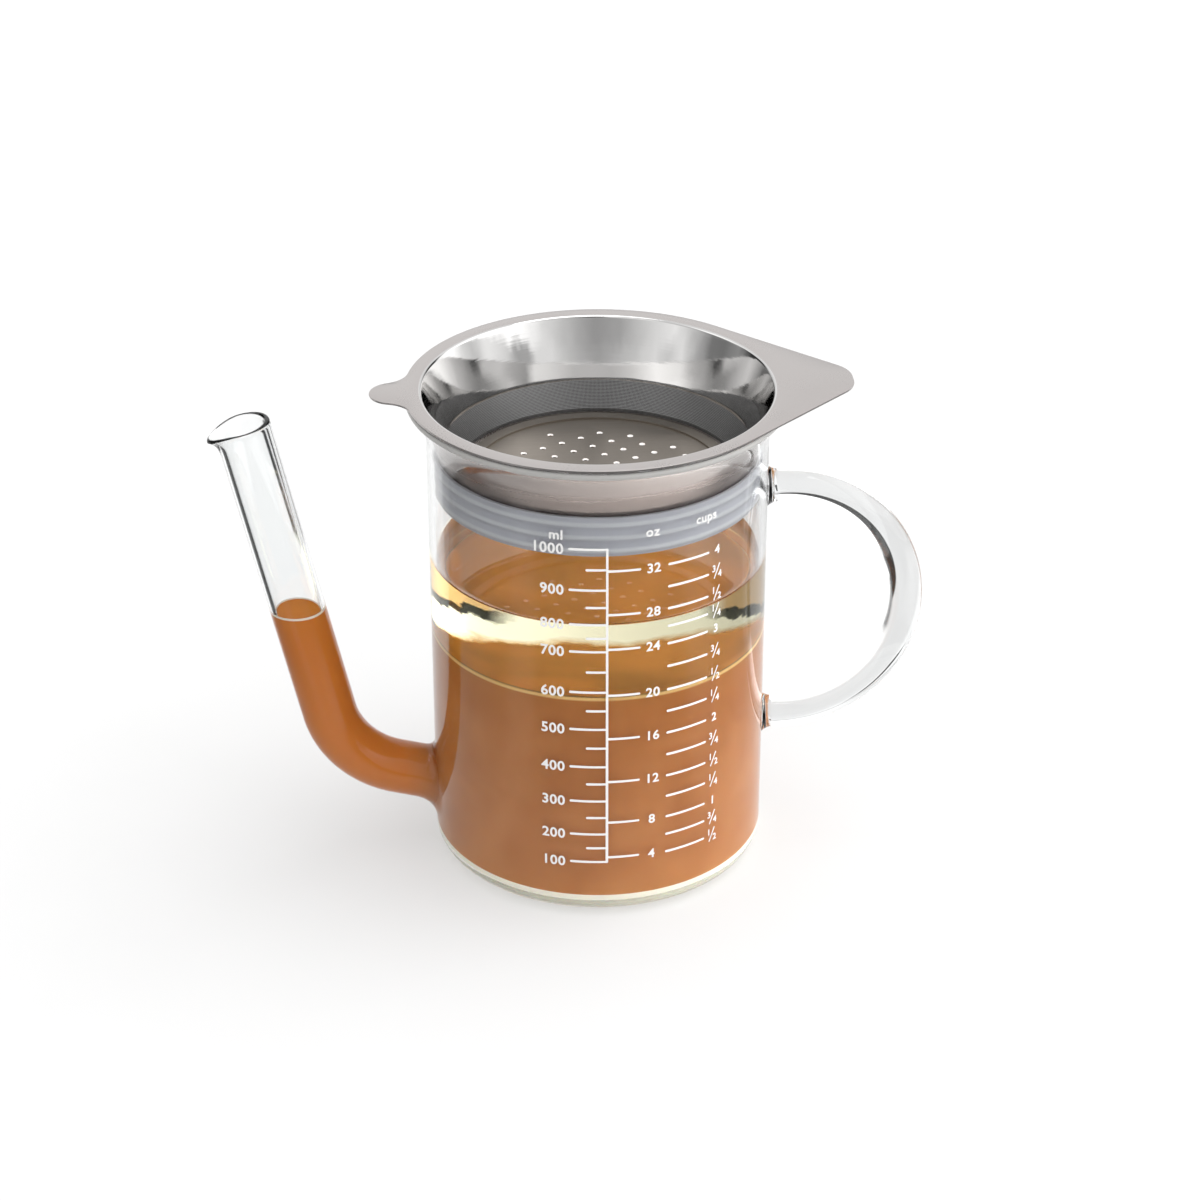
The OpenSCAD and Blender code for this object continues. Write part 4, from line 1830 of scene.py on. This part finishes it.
@dataclass
class PrintedScale:
    """The measuring scale: plain numbers and unit names in white on the outside of the glass."""

    jug_r: float = 53.0
    film: float = 0.05
    line_w: float = 0.82
    line_end_sides: int = 12
    line_step: float = 1.2
    spine_at: float = -1.5
    ml_tick_at: float = -13.6
    half_tick_at: float = -8.1
    oz_tick_at: float = 9.1
    cup_ticks_at: Point = (19.3, 34.2)
    ml_heights: tuple[float, ...] = (20.4, 30.6, 42.7, 55.1, 68.5, 81.6, 95.7, 105.0, 116.8, 130.5)
    oz_heights: tuple[float, ...] = (22.1, 34.9, 49.7, 65.1, 80.45, 96.5, 108.4, 123.2)
    cup_heights: tuple[float, ...] = (
        21.5, 28.0, 34.5, 42.0, 49.45, 57.1, 64.9, 72.6, 80.25, 88.4, 96.3, 102.35, 108.4, 115.9, 123.4,
    )  # fmt: skip
    # Each column's height of a digit, turn from the front, and height beside the tick
    ml_digits: Place = (3.5, -15.6, -0.1)
    oz_digits: Place = (3.2, 13.9, 0.0)
    cup_digits: Place = (2.9, 38.2, 0.2)
    # Each unit's name, height of a letter, turn from the front, and height above the foot
    units: tuple[tuple[str, float, float, float], ...] = (
        ("ml", 3.2, -18.1, 135.0),
        ("oz", 3.2, 13.4, 135.4),
        ("cups", 3.0, 33.3, 135.9),
    )
    quarters: tuple[tuple[str, str], ...] = (("1", "4"), ("1", "2"), ("3", "4"))
    # A fraction's height of a digit, how far its digits stand from its middle, and half its stroke's reach
    fraction_h: float = 2.3
    fraction_off: Point = (1.25, 1.15)
    stroke_reach: Point = (1.05, 2.2)
    stroke_w: float = 0.42
    # Height of a digit in the plain face, space between letters, and how much bolder they are, as shares
    digit_share: float = 0.73
    letter_space: float = 1.06
    bolder: float = 0.022
    fraction_bolder: float = 0.018
    finish: Finish = field(default_factory=WhiteEnamel)

    def wrapped(self, piece: Piece, turn: float, height: float) -> Piece:
        """Lay a flat, thin piece on the glass.

        Args:
            piece: The flat piece, drawn in X and Y and facing +Z.
            turn: Where its origin goes, in degrees from the front towards the handle.
            height: Where its origin goes, above the foot.

        Returns:
            The same piece, curved to the wall.
        """

        def rule(place: Vector) -> Vector:
            """Curve a flat place to the wall.

            Args:
                place: A point of the piece.

            Returns:
                Where it goes.
            """
            angle = math.radians(turn) + place.x / self.jug_r
            radius = self.jug_r + place.z
            return Vector((radius * math.sin(angle), -radius * math.cos(angle), height + place.y))

        return shaped(piece, rule)

    def bar(self, turns: Point, heights: Point) -> Piece:
        """A line with round ends, between two places on the glass.

        Args:
            turns: First and last turn, in degrees from the front.
            heights: First and last height.

        Returns:
            The line, laid on the glass.
        """
        length = math.radians(turns[1] - turns[0]) * self.jug_r
        rise = heights[1] - heights[0]
        run = Vector((length, rise, 0))
        piece = ring("line", self.line_w / 2, (0, 0, -self.film), sides=self.line_end_sides, filled=True)
        start_edit(piece)
        extrude((0, 0, 2 * self.film))
        close_seams()
        end_edit()
        ahead = run.normalized()
        for vertex in piece.data.vertices:
            if vertex.co.dot(ahead) > NEAR * MM:
                vertex.co += at(run)
        piece.data.update()
        # Cuts let a level line follow the round wall
        start_edit(piece)
        if abs(length) > 1:
            count = max(2, round(abs(length) / self.line_step))
            for i in range(1, count):
                bpy.ops.mesh.select_all(action="SELECT")
                bpy.ops.mesh.bisect(plane_co=at(run * i / count), plane_no=ahead)
        end_edit()
        return self.wrapped(piece, turns[0], heights[0])

    def word(
        self,
        text: str,
        digit_h: float,
        turn: float,
        height: float,
        right: bool = False,
        bolder: float | None = None,
    ) -> Piece:
        """A number or a unit's name on the glass.

        Args:
            text: What to print.
            digit_h: Height of a digit.
            turn: Where its middle, or its right end, stands, in degrees from the front.
            height: Height of its middle.
            right: True if it stands to the left of that place.
            bolder: How much bolder than the plain face, if not as usual.

        Returns:
            The printed word.
        """
        bpy.ops.object.select_all(action="DESELECT")
        bpy.ops.object.text_add(location=(0, 0, 0))
        piece = bpy.context.object
        letters = piece.data
        size = digit_h / self.digit_share
        letters.body = text
        letters.size = size * MM
        letters.align_x = "RIGHT" if right else "CENTER"
        letters.align_y = "BOTTOM_BASELINE"
        letters.space_character = self.letter_space
        letters.offset = (self.bolder if bolder is None else bolder) * size * MM
        letters.extrude = self.film * MM
        letters.resolution_u = 3
        bpy.ops.object.convert(target="MESH")
        settle(piece)
        shaped(piece, lambda place: Vector((place.x, place.y - digit_h / 2, place.z)))
        return self.wrapped(piece, turn, height)

    def fraction(self, parts: tuple[str, str], turn: float, height: float) -> list[Piece]:
        """A fraction with a slanted stroke between its two digits.

        Args:
            parts: Its upper and its lower digit.
            turn: Turn of its middle from the front.
            height: Height of its middle.

        Returns:
            The digits and the stroke.
        """
        degrees = math.degrees(1 / self.jug_r)
        aside, up = self.fraction_off
        pieces = []
        for side, part in zip((-1, 1), parts):
            place = (turn + side * aside * degrees, height - side * up)
            pieces.append(self.word(part, self.fraction_h, *place, bolder=self.fraction_bolder))
        reach, rise = self.stroke_reach[0] * degrees, self.stroke_reach[1]
        stroke = PrintedScale(line_w=self.stroke_w)
        return [*pieces, stroke.bar((turn - reach, turn + reach), (height - rise, height + rise))]

    def build(self) -> list[Piece]:
        """Print the three columns and join them to one film.

        Returns:
            The finished pieces.
        """
        parts = [self.bar((self.spine_at, self.spine_at), (self.ml_heights[0], self.ml_heights[-1]))]
        digit_h, turn, beside = self.ml_digits
        for i, z in enumerate(self.ml_heights):
            parts.append(self.bar((self.ml_tick_at, self.spine_at), (z, z)))
            parts.append(self.word(str(100 * (i + 1)), digit_h, turn, z + beside, right=True))
        for low, high in zip(self.ml_heights, self.ml_heights[1:]):
            middle = (low + high) / 2
            parts.append(self.bar((self.half_tick_at, self.spine_at), (middle, middle)))
        digit_h, turn, beside = self.oz_digits
        for i, z in enumerate(self.oz_heights):
            parts.append(self.bar((self.spine_at, self.oz_tick_at), (z, z)))
            parts.append(self.word(str(4 * (i + 1)), digit_h, turn, z + beside))
        digit_h, turn, beside = self.cup_digits
        # The cups are printed in quarters, from a half on
        for quarter, z in enumerate(self.cup_heights, 2):
            parts.append(self.bar(self.cup_ticks_at, (z, z)))
            if quarter % 4:
                parts += self.fraction(self.quarters[quarter % 4 - 1], turn, z + beside)
            else:
                parts.append(self.word(str(quarter // 4), digit_h, turn, z + beside))
        parts += [self.word(*unit) for unit in self.units]
        print_film = parts[0]
        hold(print_film)
        for part in parts[1:]:
            part.select_set(True)
        bpy.ops.object.join()
        print_film.name = "printed_scale"
        self.finish.dress(print_film)
        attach(print_film, Body.JUG.value)
        return [print_film]


# ---- The strainer ----


@dataclass
class Strainer:
    """The steel strainer: pressed funnel with its flange, mesh, clamp ring and perforated plate."""

    sheet: float = 0.7
    sheet_ease: float = 0.16
    flange_z: float = 158.8
    flange_r: float = 59.5
    mouth_r: float = 54.3
    edge_r: float = 1.1
    mouth_land: float = 1.2
    funnel_depth: float = 19.7
    skirt_h: float = 12.8
    skirt_in_r: float = 47.9
    wall_bow: float = 4.0
    tab_reach: float = 10.5
    tab_end_r: float = 7.5
    tab_fillet: float = 9.0
    grip_reach: float = 19.5
    grip_corner_r: float = 11.5
    grip_flat_w: float = 3.0
    # Faces that turn less outward or inward than this are the flange's own
    edge_on: float = 0.1
    satin: Finish = field(default_factory=SatinSteel)
    polished: Finish = field(default_factory=PolishedSteel)
    spun: Finish = field(default_factory=SpunSteel)
    woven: Finish = field(default_factory=WovenMesh)
    brushed: Finish = field(default_factory=BrushedPlate)

    def flange_outline(self) -> list[Point]:
        """The flange from above: a disc with a small round tab and a wide grip.

        Returns:
            The closed outline, counter-clockwise from the middle of the grip.
        """
        tab_x = self.flange_r + self.tab_reach - self.tab_end_r
        fillet_far, tab_far = self.flange_r + self.tab_fillet, self.tab_end_r + self.tab_fillet
        fillet_x = (fillet_far**2 - tab_far**2 + tab_x**2) / (2 * tab_x)
        fillet_y = math.sqrt(fillet_far**2 - fillet_x**2)
        fillet_turn = math.degrees(math.atan2(fillet_y, fillet_x))
        tab_turn = math.degrees(math.atan2(fillet_y, fillet_x - tab_x))
        grip_x = self.flange_r + self.grip_reach - self.grip_corner_r
        grip_y = self.grip_flat_w / 2
        grip_far = math.hypot(grip_x, grip_y)
        touch = math.degrees(
            math.atan2(grip_y, grip_x) + math.acos((self.flange_r - self.grip_corner_r) / grip_far)
        )
        corner = arc(grip_x, grip_y, self.grip_corner_r, 0, touch, steps=20)
        round_edge = arc(0, 0, self.flange_r, touch, 180 - fillet_turn, steps=150)
        upper = [
            *corner,
            *stretch(corner[-1], round_edge[0], 0.9),
            *round_edge,
            *arc(-fillet_x, fillet_y, self.tab_fillet, -fillet_turn, -tab_turn)[1:],
            *arc(-tab_x, 0, self.tab_end_r, 180 - tab_turn, 180, steps=16)[1:],
        ]
        lower = [(x, -y) for x, y in reversed(upper[:-1])]
        return [*upper, *lower]

    def funnel_line(self) -> list[Point]:
        """The middle of the sheet, from the skirt's foot up the cone and over the rolled mouth.

        Returns:
            Radius and height of each corner.
        """
        half = self.sheet / 2
        lean = math.atan((self.mouth_r - self.skirt_in_r) / self.funnel_depth)
        roll = 90 - math.degrees(lean) - self.wall_bow
        top = self.flange_z + self.sheet
        roll_x = self.mouth_r + self.edge_r * math.tan(math.radians(roll / 2))
        foot_z = top - self.funnel_depth
        skirt_r = self.skirt_in_r + half
        rolled = arc(roll_x, top - self.edge_r, self.edge_r - half, 90 + roll, 90, steps=10)
        bend_z = foot_z - half * math.tan(lean / 2)
        wall = stretch((skirt_r, bend_z), rolled[0], 1.2)
        dip = math.dist((skirt_r, bend_z), rolled[0]) * math.tan(math.radians(self.wall_bow)) / 4
        for i, (r, z) in enumerate(wall):
            t = (i + 1) / (len(wall) + 1)
            wall[i] = (r - 4 * dip * t * (1 - t), z)
        return [
            (skirt_r, foot_z - self.skirt_h),
            *stretch((skirt_r, foot_z - self.skirt_h), (skirt_r, bend_z), 3),
            (skirt_r, bend_z),
            *wall,
            *rolled,
            (roll_x + self.mouth_land, top - half),
        ]

    def funnel(self) -> Piece:
        """The pressed sheet: the flange's outline, drawn down in rings to mouth, cone and skirt.

        Returns:
            The funnel with its thickness.
        """
        middle_z = self.flange_z + self.sheet / 2
        outline = [(x, y, middle_z) for x, y in self.flange_outline()]
        piece = drawn("pressed_funnel", [*outline, outline[0]])
        line = list(reversed(self.funnel_line()))
        start_edit(piece)
        for _ in line:
            extrude((0, 0, -1))
        end_edit()

        def press(place: Vector) -> Vector:
            """Press each ring to its place on the line; the outline itself stays.

            Args:
                place: A point of the piece.

            Returns:
                Where it goes.
            """
            row = round(middle_z - place.z)
            if row == 0:
                return place
            radius, height = line[row - 1]
            angle = math.atan2(place.y, place.x)
            return Vector((radius * math.cos(angle), radius * math.sin(angle), height))

        shaped(piece, press)
        start_edit(piece)
        close_seams()
        end_edit()
        modified(piece, "SOLIDIFY", thickness=self.sheet * MM, offset=0, use_even_offset=True)
        return smooth(eased(piece, self.sheet_ease, 60))

    def dress_funnel(self, piece: Piece) -> None:
        """Leave the flange satin and the outside as it was spun, and polish the inside of mouth and cone.

        Args:
            piece: The funnel.
        """
        for finish in (self.satin, self.polished, self.spun):
            piece.data.materials.append(finish.material())
        for face in piece.data.polygons:
            centre, normal = face.center / MM, face.normal
            outward = normal.dot(Vector((centre.x, centre.y, 0)).normalized())
            if math.hypot(centre.x, centre.y) > self.mouth_r + 2:
                continue
            if outward < -self.edge_on:
                face.material_index = 1
            elif outward > self.edge_on:
                face.material_index = 2

    def build(self) -> list[Piece]:
        """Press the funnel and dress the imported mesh, ring and plate.

        Returns:
            The finished pieces.
        """
        funnel = self.funnel()
        self.dress_funnel(funnel)
        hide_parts("strainer_funnel")
        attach(funnel, Body.STRAINER.value)
        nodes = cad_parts
        self.woven.dress(nodes["mesh_band"])
        self.satin.dress(nodes["mesh_clamp_ring"])
        self.brushed.dress(nodes["sieve_plate"])
        return [funnel, nodes["mesh_band"], nodes["mesh_clamp_ring"], nodes["sieve_plate"]]


@dataclass
class Gasket:
    """The silicone ring on the skirt, with its sealing ribs."""

    inner_r: float = 48.9
    outer_r: float = 50.7
    bulge: float = 0.7
    foot_z: float = 127.0
    height: float = 12.8
    ribs: int = 3
    rib_steps: int = 16
    ease: float = 0.2
    finish: Finish = field(default_factory=MilkySilicone)

    def outline(self) -> list[Point]:
        """The ring's section: straight inside, in rounded waves outside.

        Returns:
            Radius and height of each corner, closed.
        """
        body_r = self.outer_r - self.bulge
        pitch = self.height / self.ribs
        waves = []
        for i in range(self.ribs * self.rib_steps):
            n, t = i // self.rib_steps, i % self.rib_steps / self.rib_steps
            waves.append((body_r + self.bulge * math.sin(math.pi * t) ** 2, self.foot_z + pitch * (n + t)))
        top_z = self.foot_z + self.height
        section = [(self.inner_r, self.foot_z), *waves, (body_r, top_z), (self.inner_r, top_z)]
        return [*section, section[0]]

    def build(self) -> list[Piece]:
        """Mould the ring.

        Returns:
            The finished pieces.
        """
        rubber = turned("silicone_ring", self.outline())
        self.finish.dress(smooth(eased(rubber, self.ease, 70)))
        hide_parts("silicone_gasket")
        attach(rubber, Body.GASKET.value)
        return [rubber]


# ---- Studio ----


@dataclass
class Studio:
    """Floor, soft light and the camera at the photograph's place."""

    floor_size: float = 9000.0
    camera_at: Place = (-69.3, -870.2, 559.4)
    camera_pitch: float = 28.53
    camera_turn: float = -4.6
    lens: float = 93.82
    clip: Point = (0.05, 50.0)
    lamp_at: Place = (260.0, 120.0, 2400.0)
    lamp_size: float = 1500.0
    lamp_watts: float = 16.0
    lamp_aim: Place = (0.0, 0.0, 80.0)
    fold_scale: float = 9.0
    fold_sway: float = 0.12
    # The brightest that any ring goes
    peak: float = 3.8
    # Rings of panels, from low to high, as mirrors see them: turn from the front, and brightness there
    low_ring: tuple[Point, ...] = (
        (-180, 1.0), (-150, 0.6), (-136, 0.03), (-120, 0.05), (-108, 0.35), (-95, 0.22), (-85, 0.25),
        (-74, 0.6), (-63, 1.05), (-54, 0.8), (-44, 1.0), (-30, 0.76), (-5, 0.47), (13, 0.66), (28, 1.0),
        (39, 1.0), (44, 0.52), (52, 0.5), (60, 0.92), (74, 1.15), (84, 0.75), (92, 0.9), (104, 1.6),
        (117, 1.3), (123, 0.06), (136, 0.05), (150, 0.7), (180, 1.0),
    )  # fmt: skip
    middle_ring: tuple[Point, ...] = (
        (-180, 1.05), (-150, 0.9), (-140, 0.05), (-120, 0.05), (-108, 0.5), (-86, 0.28), (-73, 0.65),
        (-57, 1.15), (-40, 0.88), (-20, 0.5), (-3, 0.42), (10, 0.58), (30, 0.95), (58, 1.9), (75, 2.0),
        (100, 2.0), (117, 1.6), (123, 0.06), (138, 0.06), (150, 0.9), (180, 1.05),
    )  # fmt: skip
    high_ring: tuple[Point, ...] = (
        (-180, 0.95), (-150, 0.95), (-112, 1.4), (-92, 1.5), (-80, 0.6), (-58, 0.8), (-40, 1.1), (-14, 1.0),
        (-7, 0.2), (1, 0.1), (6, 0.3), (14, 0.6), (37, 0.9), (55, 1.6), (90, 1.9), (125, 1.2), (155, 0.9),
        (180, 0.95),
    )  # fmt: skip
    top_ring: tuple[Point, ...] = ((-180, 0.8), (-90, 0.85), (0, 0.75), (90, 1.0), (180, 0.8))
    # The room as it lights what is matt or stands behind glass
    lit_ring: tuple[Point, ...] = (
        (-180, 1.1), (-140, 0.75), (-90, 0.8), (-40, 1.2), (0, 1.45), (40, 2.0), (70, 3.3), (110, 3.8),
        (140, 1.7), (180, 1.1),
    )  # fmt: skip
    paper: Finish = field(default_factory=StudioPaper)

    @property
    def higher_rings(self) -> tuple[tuple[tuple[Point, ...], Point], ...]:
        """The rings above the lowest one, each with the heights, in degrees, between which it takes over."""
        return ((self.middle_ring, (10, 14)), (self.high_ring, (25, 33)), (self.top_ring, (50, 70)))

    def floor(self) -> Piece:
        """A wide, flat sheet of paper.

        Returns:
            The floor.
        """
        bpy.ops.object.select_all(action="DESELECT")
        bpy.ops.mesh.primitive_plane_add(size=self.floor_size * MM, location=(0, 0, 0))
        piece = settle(bpy.context.object)
        piece.name = "studio_floor"
        start_edit(piece)
        bpy.ops.mesh.subdivide(number_cuts=8)
        end_edit()
        self.paper.dress(piece)
        return piece

    def lamp(self) -> None:
        """Hang the one soft lamp, over the jug and a little to the handle's side, so that it faces it."""
        data = bpy.data.lights.new("key", "AREA")
        data.shape = "RECTANGLE"
        data.size = data.size_y = self.lamp_size * MM
        data.energy = self.lamp_watts
        lamp = bpy.data.objects.new("key", data)
        bpy.context.scene.collection.objects.link(lamp)
        lamp.location = at(self.lamp_at)
        lamp.rotation_euler = (at(self.lamp_aim) - at(self.lamp_at)).to_track_quat("-Z", "Y").to_euler()

    def world(self) -> None:
        """A soft room: bright panels at both sides and behind, dim where the camera stands."""
        world = bpy.data.worlds.new("studio")
        bpy.context.scene.world = world
        world.use_nodes = True
        tree = world.node_tree
        tree.nodes.clear()
        look = node(tree, "TexCoord").outputs["Generated"]
        # The panels' edges are a little uneven, as cloth is
        folds = node(tree, "TexNoise", {"Vector": look, "Scale": self.fold_scale, "Detail": 2.0})
        sway = node(tree, "VectorMath", {0: folds.outputs["Color"], 1: (0.5, 0.5, 0.5)}, operation="SUBTRACT")
        sway = node(tree, "VectorMath", {0: sway, "Scale": self.fold_sway}, operation="SCALE")
        uneven = node(tree, "VectorMath", {0: look, 1: sway}, operation="ADD")
        height = node(tree, "SeparateXYZ", {0: uneven}).outputs["Z"]
        room = ring_ramp(tree, uneven, self.low_ring, self.peak)
        for stops, angles in self.higher_rings:
            start, full = (math.sin(math.radians(angle)) for angle in angles)
            rise = node(tree, "MapRange", {"Value": height, "From Min": start, "From Max": full})
            above = ring_ramp(tree, uneven, stops, self.peak)
            room = node(tree, "Mix", {0: rise, 6: room, 7: above}, data_type="RGBA")
        path = node(tree, "LightPath").outputs
        plain = (*[1 / self.peak] * 3, 1)
        lit = ring_ramp(tree, uneven, self.lit_ring, self.peak)
        # Mirrors see the panels; what is matt, or stands behind glass, is lit by the whole of the room
        mirror = {0: path["Is Glossy Ray"], 1: path["Is Transmission Ray"]}
        mirror = node(tree, "Math", mirror, operation="SUBTRACT")
        room = node(tree, "Mix", {0: mirror, 6: lit, 7: room}, data_type="RGBA")
        seen = node(tree, "Mix", {0: path["Is Camera Ray"], 6: room, 7: plain}, data_type="RGBA")
        light = node(tree, "Background", {"Color": seen, "Strength": self.peak})
        node(tree, "OutputWorld", {"Surface": light})

    def camera(self) -> None:
        """Set the camera where the photograph was taken from."""
        data = bpy.data.cameras.new("camera")
        data.lens = self.lens
        data.clip_start, data.clip_end = self.clip
        camera = bpy.data.objects.new("camera", data)
        bpy.context.scene.collection.objects.link(camera)
        camera.location = at(self.camera_at)
        camera.rotation_euler = (math.radians(90 - self.camera_pitch), 0, math.radians(self.camera_turn))
        bpy.context.scene.camera = camera

    def build(self) -> None:
        """Set up the room."""
        self.floor()
        self.lamp()
        self.world()
        self.camera()
        bpy.context.scene.view_settings.view_transform = "Standard"


def main() -> None:
    """Build the sub-assemblies in order and report each piece."""
    logging.basicConfig(level=logging.INFO, format="%(message)s")
    jug = GlassJug()
    for part in (jug, Contents(jug), PrintedScale(), Strainer(), Gasket()):
        for piece in part.build():
            mesh = piece.data
            log.info("%s: %d vertices, %d faces", piece.name, len(mesh.vertices), len(mesh.polygons))
    Studio().build()


if __name__ == "__main__":
    main()
